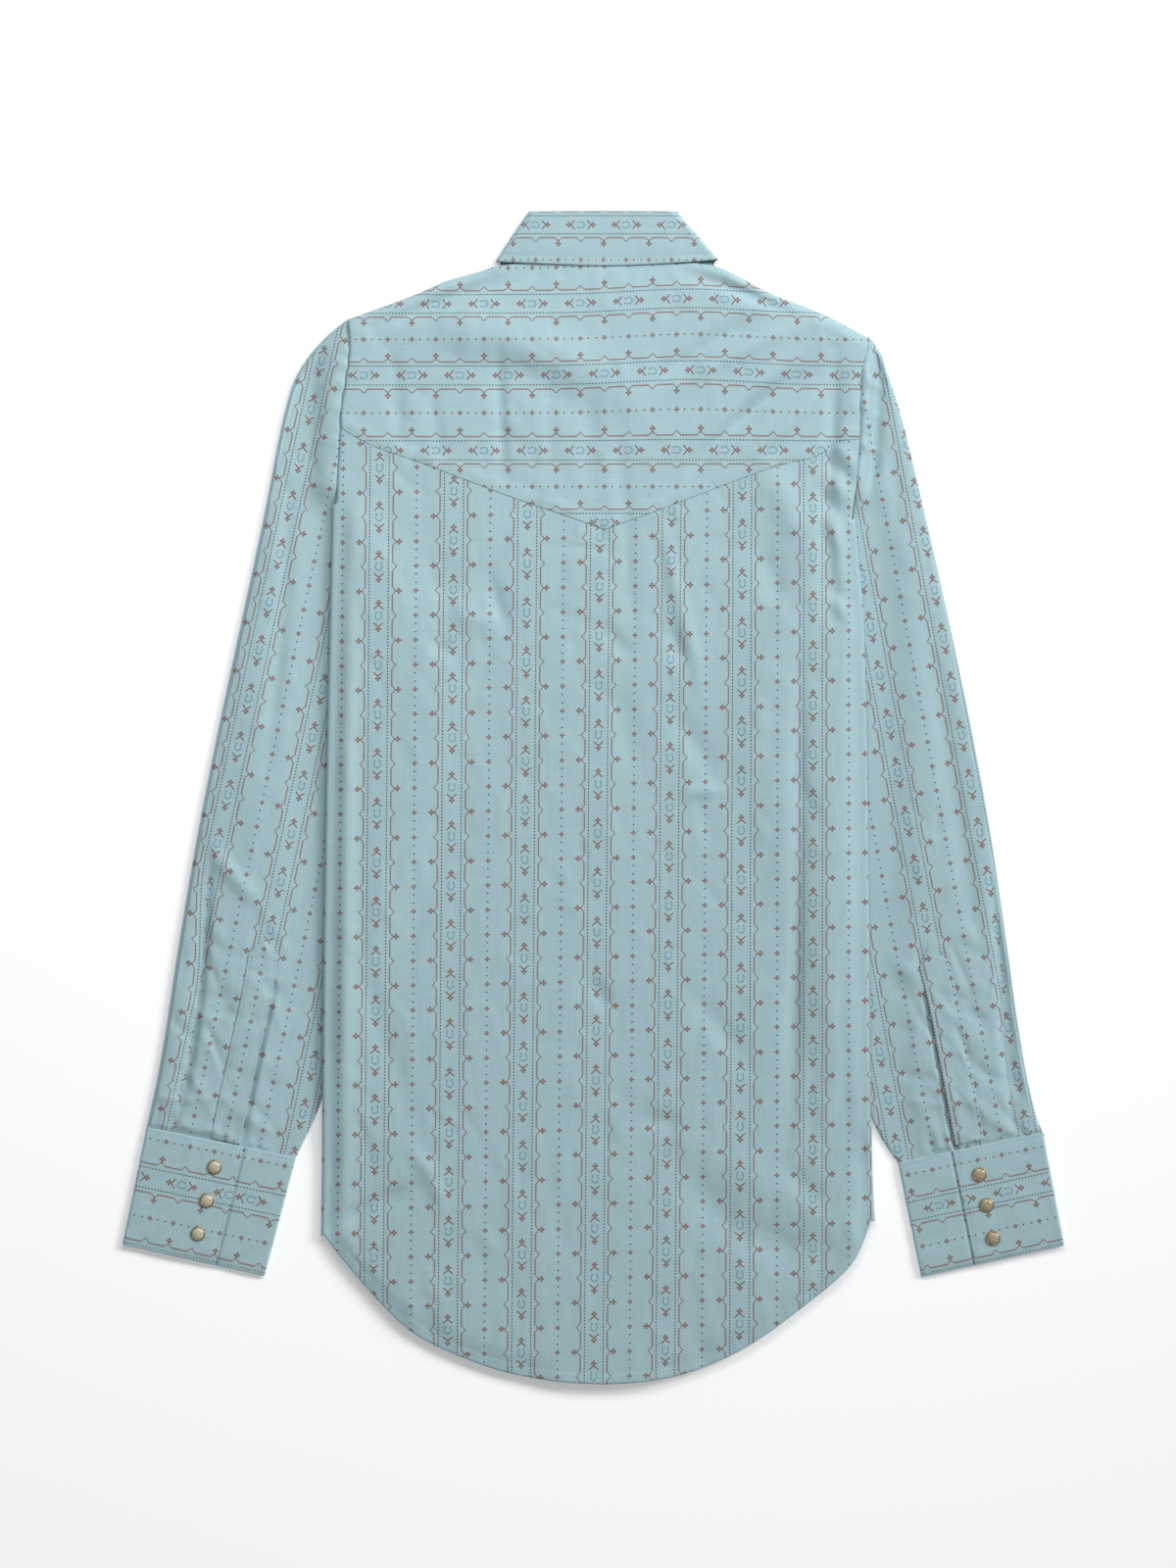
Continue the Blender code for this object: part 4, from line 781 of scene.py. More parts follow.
def front_piece(name, left_side, hem, blade, low_left, low_right, top, high_left, high_right):
    """A front in two patches, below and above the underarm, with its side turned under."""
    borders = [spaced(line, FRONT_COLUMNS) for line in (hem, blade, top)]
    low = patch(*borders[:2], spaced(low_left, FRONT_LOW_ROWS), spaced(low_right, FRONT_LOW_ROWS))
    high = patch(*borders[1:], spaced(high_left, FRONT_HIGH_ROWS), spaced(high_right, FRONT_HIGH_ROWS))
    plan = np.concatenate([low, high[1:]])
    x, y = plan[:, :, 0], plan[:, :, 1]
    sheet = np.dstack([plan, front_under(x, y, left_side) + WALL])
    cut = np.dstack([x * 1.02 + (3 if left_side else -5), y + 24])
    turned = turned_side(sheet, cut, FRONT_LOW_ROWS, -1 if left_side else 1, strip_under,
                         arc_steps=6, strip_steps=12)
    if left_side:
        parts = zip((turned[0][:, ::-1], turned[1][:, ::-1]), (sheet, cut))
    else:
        parts = zip((sheet, cut), turned)
    grid, cut = (np.concatenate(pair, axis=1) for pair in parts)
    return cloth(name, grid, cut, poplin)


left_end, right_end = CENTRE_X + FRONT_PLACKET_HALF, CENTRE_X - FRONT_PLACKET_HALF
front_low = HEM_LEFT[-1][1] + FRONT_RISE
hem = front_hem(HEM_LEFT)[:-1] + [(left_end, front_low)]
blade = [SIDE_LEFT[-1], (left_end, 205)]
front_left = front_piece("front_left_cloth", True, hem, blade, SIDE_LEFT, [hem[-1], blade[-1]],
                         FRONT_SHOULDER_LEFT + NECKLINE_LEFT[1:], FRONT_ARMHOLE_LEFT,
                         [blade[-1], NECKLINE_LEFT[-1]])
hem = [(right_end, front_low)] + front_hem(HEM_RIGHT)[1:]
blade = [(right_end, 200), SIDE_RIGHT[-1]]
front_right = front_piece("front_right_cloth", False, hem, blade, [hem[0], blade[0]], SIDE_RIGHT,
                          NECKLINE_RIGHT + FRONT_SHOULDER_RIGHT[1:], [blade[0], NECKLINE_RIGHT[0]],
                          FRONT_ARMHOLE_RIGHT)
for piece, node in ((front_left, "front_left"), (front_right, "front_right")):
    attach(piece, "root")
    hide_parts(node)

# ---------------------------------------------------------------------------------------------
# Front placket.  A straight strip sewn down the edge of the left front, through which the snaps
# are set.  It faces the table, and lies on the caps.

across = np.linspace(CENTRE_X - FRONT_PLACKET_HALF, CENTRE_X + FRONT_PLACKET_HALF - 0.5, 19)
plan = np.stack(np.meshgrid(across, np.linspace(front_low + 2, 340, 260)), axis=2)
x, y = plan[:, :, 0], plan[:, :, 1]
front_placket = cloth("front_placket_cloth", np.dstack([plan, snap_bed(y) + WALL]),
                      np.dstack([x - CENTRE_X + BAND_PITCH / 2, y]), poplin, wall=0.8)
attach(front_placket, "root")
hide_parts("front_placket")

# ---------------------------------------------------------------------------------------------
# Sleeves.  One-piece sleeves, pressed flat, whose inner halves lie under the body.  The head is
# sewn to the armhole, and the lower end is pleated into the cuff beside a pointed placket.

SLEEVE_FLAT = 2.4    # a sleeve pressed flat under the body
SLEEVE_EDGE = 2.1    # radius of a sleeve's outer edge
EDGE_INSET = 2.6
OUTER_LEFT = [(-181.6, 350.4), (-194, 341), (-207, 326.7), (-217, 312.3), (-222.8, 298), (-230, 269),
              (-240.5, 212), (-253.1, 154), (-284, 10), (-302, -91), (-317, -192), (-326, -233),
              (-328, -242)]
EDGE_LEFT = [(-189.3, 216.2), (-192.6, 209), (-195, 150), (-197.8, 10), (-201, -100), (-206, -165),
             (-215, -224), (-238.2, -260.3)]
INNER_LEFT = [(-137, 131), (-128, 100), (-122, 70), (-124, 40), (-136, 0), (-165, -100), (-188, -180),
              (-199, -224), (-218.5, -264.2)]
OUTER_RIGHT = [(204, 336.5), (211.3, 326.7), (215.6, 312.3), (220.7, 298), (229.3, 269), (242.5, 212),
               (256, 154), (286.2, 10), (301.3, -91), (315, -192), (325, -235), (330, -245.5)]
EDGE_RIGHT = [(190.1, 205.2), (193.8, 197), (197.5, 165), (201.6, 120), (203.4, 10), (205.4, -100),
              (209, -165), (220, -230), (242.8, -263.8)]
INNER_RIGHT = [(141, 121), (132, 92), (126, 62), (128, 35), (140, -5), (169, -105), (192, -185),
               (204, -240), (223.6, -268)]
SEAM_TOP_LEFT = [(-181.6, 350.4), (-179.4, 330), (-182.7, 305), (-186.2, 286), (-186.5, 271.6),
                 (-188.2, 243), (-189.3, 216.2)]
SEAM_TOP_RIGHT = [(204, 336.5), (202.4, 330), (197.9, 314), (197, 293), (196.3, 262.7), (193.8, 230),
                  (190.1, 205.2)]
UNDER_SEAM_LEFT = [(-189.3, 216.2), (-171.5, 178), (-153, 151), (-137, 131)]
UNDER_SEAM_RIGHT = [(190.1, 205.2), (174, 167), (156, 140), (141, 121)]

# Rings of a sleeve from armhole to cuff, as shares of each guide line's length, and the puff over the flat
#        outer  edge  inner  puff
RINGS = [(0.000, 0.000, 0.000, 4.6), (0.040, 0.006, 0.006, 4.4), (0.090, 0.013, 0.014, 4.0),
         (0.150, 0.022, 0.026, 3.6), (0.215, 0.035, 0.042, 3.4), (0.280, 0.070, 0.067, 3.2),
         (0.350, 0.165, 0.105, 3.0), (0.420, 0.255, 0.170, 3.0), (0.490, 0.345, 0.250, 3.2),
         (0.560, 0.435, 0.340, 3.2), (0.630, 0.520, 0.430, 3.0), (0.700, 0.610, 0.530, 3.0),
         (0.770, 0.700, 0.630, 3.2), (0.840, 0.790, 0.740, 3.4), (0.900, 0.870, 0.840, 3.6),
         (0.950, 0.935, 0.920, 3.0), (1.000, 1.000, 1.000, 1.6)]

# The valleys beside the armholes, where the heads fall in, and the ruches across them
HEAD_CREASES = [
    ([(-197, 346), (-205, 326), (-208, 302), (-208, 280), (-209, 250), (-211, 212)], 15, -4.2, 0.45),
    ([(-184, 318), (-192, 304), (-201, 298)], 3.0, 1.0, 0),
    ([(-187, 292), (-194, 282), (-203, 277)], 3.0, 0.9, 0),
    ([(-188, 268), (-195, 262), (-203, 260)], 3.0, 0.8, 0),
    ([(207, 334), (208.5, 316), (207.5, 290), (206.5, 266), (204, 236), (200, 205)], 6.5, -6.5, -0.4),
    ([(200, 326), (200, 290), (198, 262)], 3.5, 1.5, 0),
    ([(198, 312), (206, 302), (214, 299)], 3.2, 1.5, 0),
    ([(197, 290), (204, 281), (212, 279)], 3.2, 1.4, 0),
    ([(195, 262), (203, 255), (210, 254)], 3.2, 1.2, 0)]
SLEEVE_ROWS, SLEEVE_OVER, SLEEVE_UNDER = 215, 70, 10

# The pleats beside the plackets, from the top down
PLEAT_LEFT = [(-281, -40), (-284, -90), (-289, -150), (-297, -200), (-306, -244)]
PLEAT_RIGHT = [(294, -60), (298, -115), (301, -160), (303, -195), (310, -246)]
PLEAT_DEPTH = 15
SLEEVE_CREASES = [
    (PLEAT_LEFT, 8, -2.6, 0.8),
    (PLEAT_RIGHT, 9, -2.8, -0.75),
    ([(-223, 262), (-226, 150), (-240, 20)], 7, -1.8, 0),
    ([(-281, -38), (-262, -60), (-245, -80)], 6, 1.9, 0),
    ([(-262, -148), (-276, -168), (-292, -176)], 5, -1.1, 0),
    ([(-266, -188), (-280, -204), (-297, -212)], 4, -0.8, 0),
    ([(-214, -120), (-232, -146), (-241, -150)], 5, -0.9, 0),
    ([(-216, -170), (-238, -190), (-246, -192)], 4, -0.8, 0),
    ([(-202, 60), (-210, -60), (-214, -150)], 5, -0.9, 0),
    ([(214, 300), (216, 262), (224, 200)], 7, -1.4, 0),
    ([(244, 140), (262, 20), (284, -120)], 9, -1.8, 0.3),
    ([(205, -109), (222, -122), (238, -134)], 6, 2.0, 0),
    ([(207, -128), (222, -142), (234, -146)], 5, -1.0, 0),
    ([(212, -160), (226, -172), (240, -174)], 5, -0.9, 0),
    ([(216, -196), (232, -206), (250, -206)], 4, -0.8, 0),
    ([(272, -150), (286, -168), (300, -172)], 5, -1.0, 0),
    ([(276, -190), (288, -204), (304, -208)], 4, -0.8, 0),
    ([(212, 60), (218, -20), (216, -90)], 6, -0.9, 0)]

# The plackets' middle lines, from the cuff up, and the side on which each is open: 1 is the left
PLACKET_LEFT = [(-270.5, -253), (-260.5, -205), (-251.5, -165), (-245.7, -138), (-240.6, -103.6)]
PLACKET_RIGHT = [(276, -253.5), (265.2, -195), (256, -146), (248.5, -119), (246.6, -109.6)]
OPENING_LEFT, OPENING_RIGHT = -1, 1
PLACKET_HALF = 10.8
PLACKET_BED, SLIT_DEPTH = 0.6, 2.2
IN_CUFF, IN_SEAM = 3.5, 3   # how far the sleeve runs on into its seams
HEAD_RUN = 30        # how far from the armhole the sleeve still follows the yoke
GATHERS = 13         # pitch of the small folds drawn up by the cuff's seam
SLEEVE_GAIN = 1.25   # how far the sleeves' creases are taken
DENTED_BELOW = -95   # the sleeves are crumpled more from here down to the cuffs
FREE_FROM, FREE_OVER = 7, 30   # how far out from the body's side a sleeve begins to rise, and over what
CLOSED_LENGTH = 31   # from the point down to the cross stitches, sewn down on both sides

# Cuffs, which the sleeve's lower end goes into: corners of the band from its outer edge to its inner one
STIFF_WALL = 1.2
CUFF_LEFT = [(-328, -242), (-218.5, -264.2), (-345.8, -328.4), (-241.6, -351.4)]
CUFF_RIGHT = [(330, -245.5), (223.6, -268), (345.8, -328.8), (240.8, -352)]
LAP_LEFT = 0.65      # share of the cuff's width, from its outer edge, where the lapped end stops
LAP_RIGHT = 0.625
CUFF_TOP = 2 * LAY + 3 * STIFF_WALL
CUFF_LOW = STIFF_WALL + LAY + STIFF_WALL


def placket_bed(x, y, line, opening):
    """How the sleeve is pressed down under its placket: softly, but for a slit at the opening."""
    gap, far, side = near_line(rounded(line), x, y, 40)
    slit = ramp((run_along(line)[-1] - CLOSED_LENGTH - far) / 3)
    offset = gap * np.where(side * opening > 0, 1, -1)
    sharp, soft = ramp((PLACKET_HALF + 0.9 - offset) / 1.2), ramp((PLACKET_HALF + 3 - offset) / 5)
    inside = (sharp * slit + soft * (1 - slit)) * ramp((offset + PLACKET_HALF + 3) / 5)
    valley = ramp((offset - PLACKET_HALF + 2.4) / 2.2) * ramp((PLACKET_HALF + 4.2 - offset) / 3.2)
    return -PLACKET_BED * inside - SLIT_DEPTH * slit * valley


def edge_arc(at, inward, low, high, angles):
    """The round edge of a flattened tube: half a ring out from each point, seen across the edge."""
    middle, radius = (high + low) / 2, (high - low) / 2
    ahead = unit(np.gradient(at, axis=0))
    square = np.maximum(0.5, np.abs(inward[:, 0] * ahead[:, 1] - inward[:, 1] * ahead[:, 0]))
    reach = radius / square
    spots = at[:, None] + inward[:, None] * (reach[:, None] * (1 + np.sin(angles)))[:, :, None]
    return np.dstack([spots, middle[:, None] + radius[:, None] * np.cos(angles)]), radius, reach


def sleeve_top(x, y, across, puff, seam_top, cuff, lap, placket, opening, body_side, inward):
    """Upper side of a sleeve: pressed flat under the body, puffed and creased where it is free."""
    clear = np.abs(x) - np.abs(read_off(np.array(body_side)[:, ::-1], y)) - EDGE_INSET
    free = np.maximum(ramp((clear - FREE_FROM) / FREE_OVER), ramp((y - 222) / 40))
    folds = SLEEVE_GAIN * creased(SLEEVE_CREASES, x, y) + 0.3 * slack(x, y, seed=5, size=52)
    whole = (x.min(), y.min(), x.max(), y.max())
    folds += crumpled(x, y, seed=31, count=330, box=whole, rise=0.5, grain=1.57 - 0.2 * inward)
    low_x, high_x = sorted((cuff[0][0], cuff[1][0]))
    beside_cuff = (low_x + 8, cuff[1][1], high_x - 8, DENTED_BELOW)
    folds += crumpled(x, y, seed=41, count=46, box=beside_cuff, rise=1.3, grain=-0.45)
    folds += placket_bed(x, y, placket, opening)
    edge_fade = ramp(across / 0.06)
    rise = (2 * SLEEVE_EDGE - SLEEVE_FLAT) * (1 - across) ** 1.5 + folds * edge_fade
    rise = rise + puff[:, None] * np.sin(math.pi * across ** 0.8) ** 0.7
    top = SLEEVE_FLAT + soft_max(rise, 0, 0.3) * free

    from_seam = near_line(rounded(seam_top), x, y, 60)[0]
    joined = (1 - ramp((from_seam - 1) / HEAD_RUN)) * ramp(across / 0.22) * ramp((y - 205) / 25)
    top = top + (np.maximum(yoke_top(x, y) - 0.45, top) - top) * joined
    top = top + puckered(rounded(seam_top), x, y, rise=0.5, pitch=12, reach=9) * joined
    top = top + creased(HEAD_CREASES, x, y) * edge_fade * np.minimum(free + joined, 1)
    top = soft_max(top, SLEEVE_FLAT - 0.4)
    turned_in = ramp(across / 0.1) * (across < 1)
    top[-1] -= 1.3 * turned_in
    top[-2] -= 0.55 * turned_in

    from_cuff, along_cuff, _ = near_line(cuff[:2], x, y, 30)
    past_lap = ramp((along_cuff / math.dist(*cuff[:2]) - lap) / 0.03)
    cuff_top = CUFF_TOP + (CUFF_LOW + 0.5 - CUFF_TOP) * past_lap
    gathers = np.sin(2 * math.pi * (along_cuff / GATHERS + 0.5 * np.sin(along_cuff / 11)))
    top = top + 0.5 * gathers * np.exp(-from_cuff / 14) * free * edge_fade
    top = np.minimum(top, cuff_top - 0.62 + 0.5 * np.maximum(from_cuff - 0.8, 0))
    top[0] = np.minimum(top[0], cuff_top[0] - 1.1)
    return top, 1.15 * ramp((3.2 - from_cuff) / 3.2)


def sleeve(name, outer, edge, inner, seam_top, seam_under, cuff, lap, placket, opening, body_side,
           print_at, inward, flip):
    """A flattened tube.  Each ring runs over the top from the outer edge to the inner, then back.

    `print_at` gives the print's place for a point in plan, and `inward` is 1 if it grows inwards.
    """
    stops = np.concatenate([np.linspace(0, 0.03, 12), np.linspace(0.03, 1, SLEEVE_ROWS)[1:]])
    table = np.array(RINGS)[::-1]
    *shares, puff = [np.interp(stops, np.linspace(0, 1, len(table)), column) for column in table.T]
    outer, edge, inner = (spaced(rounded(line), share) for line, share in zip((outer, edge, inner), shares))
    cuff_line = spaced(cuff[:2], 401)
    split = int(np.argmin(np.hypot(*(cuff_line - edge[0]).T)))
    over = patch(spaced(cuff_line[:split + 1], SLEEVE_OVER), spaced(rounded(seam_top), SLEEVE_OVER),
                 outer, edge)
    under = patch(spaced(cuff_line[split:], SLEEVE_UNDER), spaced(rounded(seam_under), SLEEVE_UNDER),
                  edge, inner)
    plan = np.concatenate([over, under[:, 1:]], axis=1)
    into_cuff = plan[:1] + IN_CUFF * unit(plan[:1] - plan[2:3])
    past = np.where(np.arange(plan.shape[1]) < SLEEVE_OVER, IN_SEAM, 0.3)[:, None]
    plan = np.concatenate([into_cuff, plan, plan[-1:] + past * unit(plan[-1:] - plan[-3:-2])])

    across = np.concatenate([np.linspace(0, 1, SLEEVE_OVER), np.ones(SLEEVE_UNDER - 1)])
    top, bottom = sleeve_top(plan[:, :, 0], plan[:, :, 1], across, np.pad(puff, 1, mode="edge"), seam_top,
                             cuff, lap, placket, opening, body_side, inward)
    outer_angles = np.radians(np.linspace(180, 360, 11))
    from_outer = unit(plan[:, 1] - plan[:, 0])
    outer_arc, radius, reach = edge_arc(plan[:, 0], from_outer, bottom[:, 0], top[:, 0], outer_angles)
    on_table = np.zeros(len(plan))
    inner_arc, _, _ = edge_arc(plan[:, -1], unit(plan[:, -2] - plan[:, -1]), on_table,
                               on_table + SLEEVE_FLAT, np.radians(np.linspace(360, 180, 7)))
    least = reach[:, None] * 1.05 + 0.03 * np.arange(plan.shape[1])
    slide = np.clip(least - np.linalg.norm(plan - plan[:, :1], axis=2), 0, None)
    plan = plan + from_outer[:, None] * slide[:, :, None]
    upper, lower = np.dstack([plan, top]), np.dstack([plan, bottom])
    grid = np.concatenate([outer_arc, upper[:, 1:-1], inner_arc, lower[:, -2:0:-1]], axis=1)

    # The print goes on round the edge, and runs back beneath as it would on the cloth
    u, v = print_at(grid[:, :, 0], grid[:, :, 1])
    count = outer_arc.shape[1]
    first = u[:, [count - 1]]
    u[:, :count] = first - inward * radius[:, None] * (2 * math.pi - outer_angles)
    back = count + upper.shape[1] - 2 + inner_arc.shape[1] - 3
    u[:, back:] = 2 * first - inward * math.pi * radius[:, None] - u[:, back:]
    return cloth(name, grid, np.dstack([u, v]), poplin, ring=True, flip=flip)


def taken_up(x, y, pleat):
    """How much cloth the pleat hides from what lies beyond it."""
    outside = np.abs(x) > np.abs(read_off(rounded(pleat, 2)[::-1, ::-1], y))
    return PLEAT_DEPTH * outside * ramp((pleat[0][1] - y) / 110)


def left_sleeve_print(x, y):
    u = (0.9775 * (x + 259.6) - 0.211 * (y - 42.3)) * 1.058
    return u - taken_up(x, y, PLEAT_LEFT), 0.211 * x + 0.9775 * y + 163.5


def right_sleeve_print(x, y):
    u = (0.983 * (x - 231.5) + 0.183 * (y + 24.6)) * 1.07
    return u + 0.4 * taken_up(x, y, PLEAT_RIGHT), -0.183 * x + 0.983 * y + 312.6


sleeve_left = sleeve("sleeve_left_cloth", OUTER_LEFT, EDGE_LEFT, INNER_LEFT, SEAM_TOP_LEFT, UNDER_SEAM_LEFT,
                     CUFF_LEFT, LAP_LEFT, PLACKET_LEFT, OPENING_LEFT, body_side=SIDE_LEFT,
                     print_at=left_sleeve_print, inward=1, flip=False)
sleeve_right = sleeve("sleeve_right_cloth", OUTER_RIGHT, EDGE_RIGHT, INNER_RIGHT, SEAM_TOP_RIGHT,
                      UNDER_SEAM_RIGHT, CUFF_RIGHT, LAP_RIGHT, PLACKET_RIGHT, OPENING_RIGHT,
                      body_side=SIDE_RIGHT, print_at=right_sleeve_print, inward=-1, flip=True)
for piece, node in ((sleeve_left, "sleeve_left"), (sleeve_right, "sleeve_right")):
    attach(piece, "root")
    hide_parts(node)

# ---------------------------------------------------------------------------------------------
# Sleeve plackets.  A pointed strip on each sleeve, from the cuff up, cut so that a row of dots
# and flowers runs down its middle.  One long side and the point are sewn down; the other long
# side is the opening's edge.

POINT_LENGTH = 13
PLACKET_ROWS, PLACKET_COLUMNS = 120, 23
LEVEL_FROM = 0.74    # share of the half width past which the free edge stands level
CROSS_ROWS = (30, 33)


def sleeve_placket(name, line, on, opening, cut_at):
    """The strip, laid on the sleeve, with its free edge a little up on the side of the opening."""
    surface = surface_of(on)
    middle = spaced(rounded(line), PLACKET_ROWS)
    ahead, along = unit(np.gradient(middle, axis=0)), run_along(middle)
    grid, cut = np.zeros((PLACKET_ROWS, PLACKET_COLUMNS, 3)), np.zeros((PLACKET_ROWS, PLACKET_COLUMNS, 2))
    for i, (spot, step, far) in enumerate(zip(middle, ahead, along)):
        half = PLACKET_HALF * min(1.0, 0.03 + 0.97 * (along[-1] - far) / POINT_LENGTH)
        aside = np.array((step[1], -step[0])) * half
        for j, share in enumerate(np.linspace(-1, 1, PLACKET_COLUMNS)):
            is_free = -share * opening > 0 and far < along[-1] - CLOSED_LENGTH
            rests_at = spot + aside * (np.clip(share, -LEVEL_FROM, LEVEL_FROM) if is_free else share)
            edge = half * (1 - abs(share))
            free = is_free * abs(share)
            lift = 0.95 + 0.3 * free - 0.35 * (1 - free) * math.exp(-(edge / 0.9) ** 2)
            lift -= (0.3 if is_free else 0.5) * math.exp(-((edge - 1.6) / 0.8) ** 2)
            lift *= 0.15 + 0.85 * float(ramp((far - 2) / 9))
            grid[i, j] = (*(spot + aside * share), height_on(surface, *rests_at) + lift)
            cut[i, j] = (half * share + cut_at[0], far + cut_at[1])
    for _ in range(3):
        grid[1:-1, :, 2] = (grid[:-2, :, 2] + 2 * grid[1:-1, :, 2] + grid[2:, :, 2]) / 4
    return cloth(name, grid, cut, poplin, wall=0.6)


def placket_stitches(name, piece, line):
    """Rows down both sides and round the point, and two across where the opening ends."""
    middle = spaced(rounded(line), PLACKET_ROWS)
    length = run_along(middle)[-1]

    def row_at(back):
        return int(PLACKET_ROWS * (1 - back / length))

    sides = [beside(middle, side * (PLACKET_HALF - 1.7))[1:row_at(POINT_LENGTH + 1)] for side in (-1, 1)]
    tip = middle[-1] + 2.2 * unit(middle[-3] - middle[-1])
    points = [np.array([side[-1], tip]) for side in sides]
    left, right = beside(middle, PLACKET_HALF - 2), beside(middle, 2 - PLACKET_HALF)
    crosses = [np.array([left[row_at(back)], right[row_at(back)]]) for back in CROSS_ROWS]
    return stitched(name, surface_of(piece), sides + points + crosses)


for side, line, on, opening, cut_at in (
        ("left", PLACKET_LEFT, sleeve_left, OPENING_LEFT, (BAND_PITCH / 2, 0)),
        ("right", PLACKET_RIGHT, sleeve_right, OPENING_RIGHT, (17.3, -12))):
    placket = sleeve_placket(f"sleeve_placket_{side}_cloth", line, on, opening, cut_at)
    stitches = placket_stitches(f"sleeve_placket_{side}_stitches", placket, line)
    for piece in (placket, stitches):
        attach(piece, "root")
    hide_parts(f"sleeve_placket_{side}")

# ---------------------------------------------------------------------------------------------
# Cuffs.  A stiffened band of two layers, wrapped round the wrist with one end lapped over the
# other.  It is cut with the print along it, topstitched all round, and closed with three snaps.

UNDERLAP = 0.23      # how far the other end goes on beneath, as a share of the cuff's width
INNER_TURN, OUTER_TURN = 0.012, 0.0168  # the turns at its sides, as shares of its width
BAND_DOWN = 43.65    # from its upper edge to the middle of a dashed line
ROUND_CUFF = 300
CUFF_SHARES = np.concatenate([[0, 0.004, 0.01, 0.02, 0.03, 0.042], np.linspace(0.055, 0.945, 46),
                              [0.958, 0.97, 0.98, 0.99, 0.996, 1]])
END_STITCH = 0.024   # share of the depth, and of the width, from the stitches to the edge


def cuff_spot(corners, share, down):
    """A place on a cuff: a share of its width from the outer edge, and of its depth from the sleeve."""
    start_outer, start_inner, end_outer, end_inner = np.array(corners, dtype=float)
    outer = start_outer + (end_outer - start_outer) * down
    inner = start_inner + (end_inner - start_inner) * down
    return outer + (inner - outer) * share


def cuff_piece(name, corners, lap, first_shoe, other_shoe, stretch, flip):
    """A flattened band.  Each row runs round it, from the end beneath to the lapped end on top."""
    wide, deep = math.dist(corners[1], corners[0]), math.dist(corners[2], corners[0])
    level = CUFF_LOW + 0.5
    path = [(lap - UNDERLAP, CUFF_LOW), (lap - 0.1, CUFF_LOW), (lap + 0.011, CUFF_LOW),
            (lap + 0.019, level + 0.6), (lap + 0.05, level + 0.6), (0.8, level + 0.4), (0.95, level + 0.15)]
    path += [(1 + INNER_TURN * (math.sin(a) - 1), level / 2 * (1 + math.cos(a)))
             for a in np.radians(np.linspace(0, 180, 9))]
    path += [(share, 0) for share in (0.8, 0.6, 0.4, 0.2)]
    path += [(OUTER_TURN * (1 + math.sin(a)), CUFF_TOP / 2 * (1 + math.cos(a)))
             for a in np.radians(np.linspace(180, 360, 11))]
    path += [(share, CUFF_TOP) for share in (0.1, 0.3, lap - 0.17, lap - 0.008)] + [(lap, CUFF_TOP - 0.35)]
    section = spaced(rounded([(share * wide, z) for share, z in path], 1), ROUND_CUFF)
    across, height = section.T
    run, down = run_along(section), CUFF_SHARES[:, None]
    spots = cuff_spot(corners, (across / wide)[:, None], down[:, :, None])

    from_edge = np.minimum(down, 1 - down) * deep
    on_top = ramp((height - 2.4) / 0.3)
    pad = 0.28 * ramp((from_edge - 2.2) / 5) - 0.55 * (1 - ramp(from_edge / 1.0))
    pad = pad - 0.22 * np.exp(-((from_edge - 2.0) / 0.8) ** 2)
    pad = pad - 0.22 * np.exp(-((run[-1] - run - 2.4) / 0.9) ** 2)
    box = (*np.min(corners, axis=0), *np.max(corners, axis=0))
    x, y = spots[:, :, 0], spots[:, :, 1]
    dents = crumpled(x, y, seed=52, count=46, box=box, rise=0.4, grain=0.5)
    z = height + (pad + 0.16 * slack(x, y, seed=12, size=30) + dents) * on_top
    z = z + 0.5 * (1 - on_top) * (1 - ramp(from_edge / 1.0)) * (height < 0.6)

    outer_turn = run[np.argmin(np.abs(across) + 10 * np.abs(height - CUFF_TOP / 2))]
    beneath = np.interp(run, [0, 0.3 * run[-1], 0.45 * run[-1]], [1, 1, 0])
    u = (down * deep - BAND_DOWN) / stretch + DASH_ROW + 0 * run
    v = run - outer_turn - first_shoe - other_shoe * beneath + 0 * u
    return cloth(name, np.dstack([spots, z]), np.dstack([u, v]), poplin, wall=0.9, flip=flip)


def cuff_stitches(name, piece, corners, lap):
    """One row round the cuff, close to its edges, and one down the lapped end."""
    edges, rows = (END_STITCH, 1 - END_STITCH), []
    for down in edges:
        for ends in ((0.03, lap - 0.02), (lap + 0.012, 0.975)):
            rows.append(np.array([cuff_spot(corners, share, down) for share in ends]))
    rows.append(np.array([cuff_spot(corners, lap - 0.022, down) for down in edges]))
    return stitched(name, surface_of(piece), rows)


for side, corners, lap, *cut_at, flip in (("left", CUFF_LEFT, LAP_LEFT, 35.7, 6.0, 1.05, True),
                                          ("right", CUFF_RIGHT, LAP_RIGHT, 34.5, 11.2, 0.975, False)):
    cuff = cuff_piece(f"cuff_{side}_cloth", corners, lap, *cut_at, flip)
    stitches = cuff_stitches(f"cuff_{side}_stitches", cuff, corners, lap)
    for piece in (cuff, stitches):
        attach(piece, "root")
    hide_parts(f"cuff_{side}")

# ---------------------------------------------------------------------------------------------
# Snaps.  Each cap is a domed disc of pearl set in a thin brass-toned rim, which holds the socket
# through the cloth.  Three close each cuff, and seven close the front.

SNAPS = {"left": [(-278.1, -271.2), (-283.7, -295.8), (-290.2, -320.2)],
         "right": [(283.3, -276.6), (288.6, -299), (293.4, -323.4)]}
CAP_HEIGHT, FRONT_CAP_HEIGHT = 2.3, 1.6
CUFF_SNAP_Z = CUFF_TOP + 0.3
# Radius and height, from the cloth up and from the rim to the middle
RIM = [(4.9, 0.0), (5.25, 0.12), (5.35, 0.42), (5.3, 0.8), (5.08, 1.14), (4.8, 1.3), (4.5, 1.34),
       (4.28, 1.24), (4.2, 1.02)]
PEARL = [(4.22, 1.02), (4.1, 1.2), (3.85, 1.42), (3.4, 1.68), (2.8, 1.92), (2.1, 2.11), (1.4, 2.23),
         (0.7, 2.285), (0.0, 2.3)]

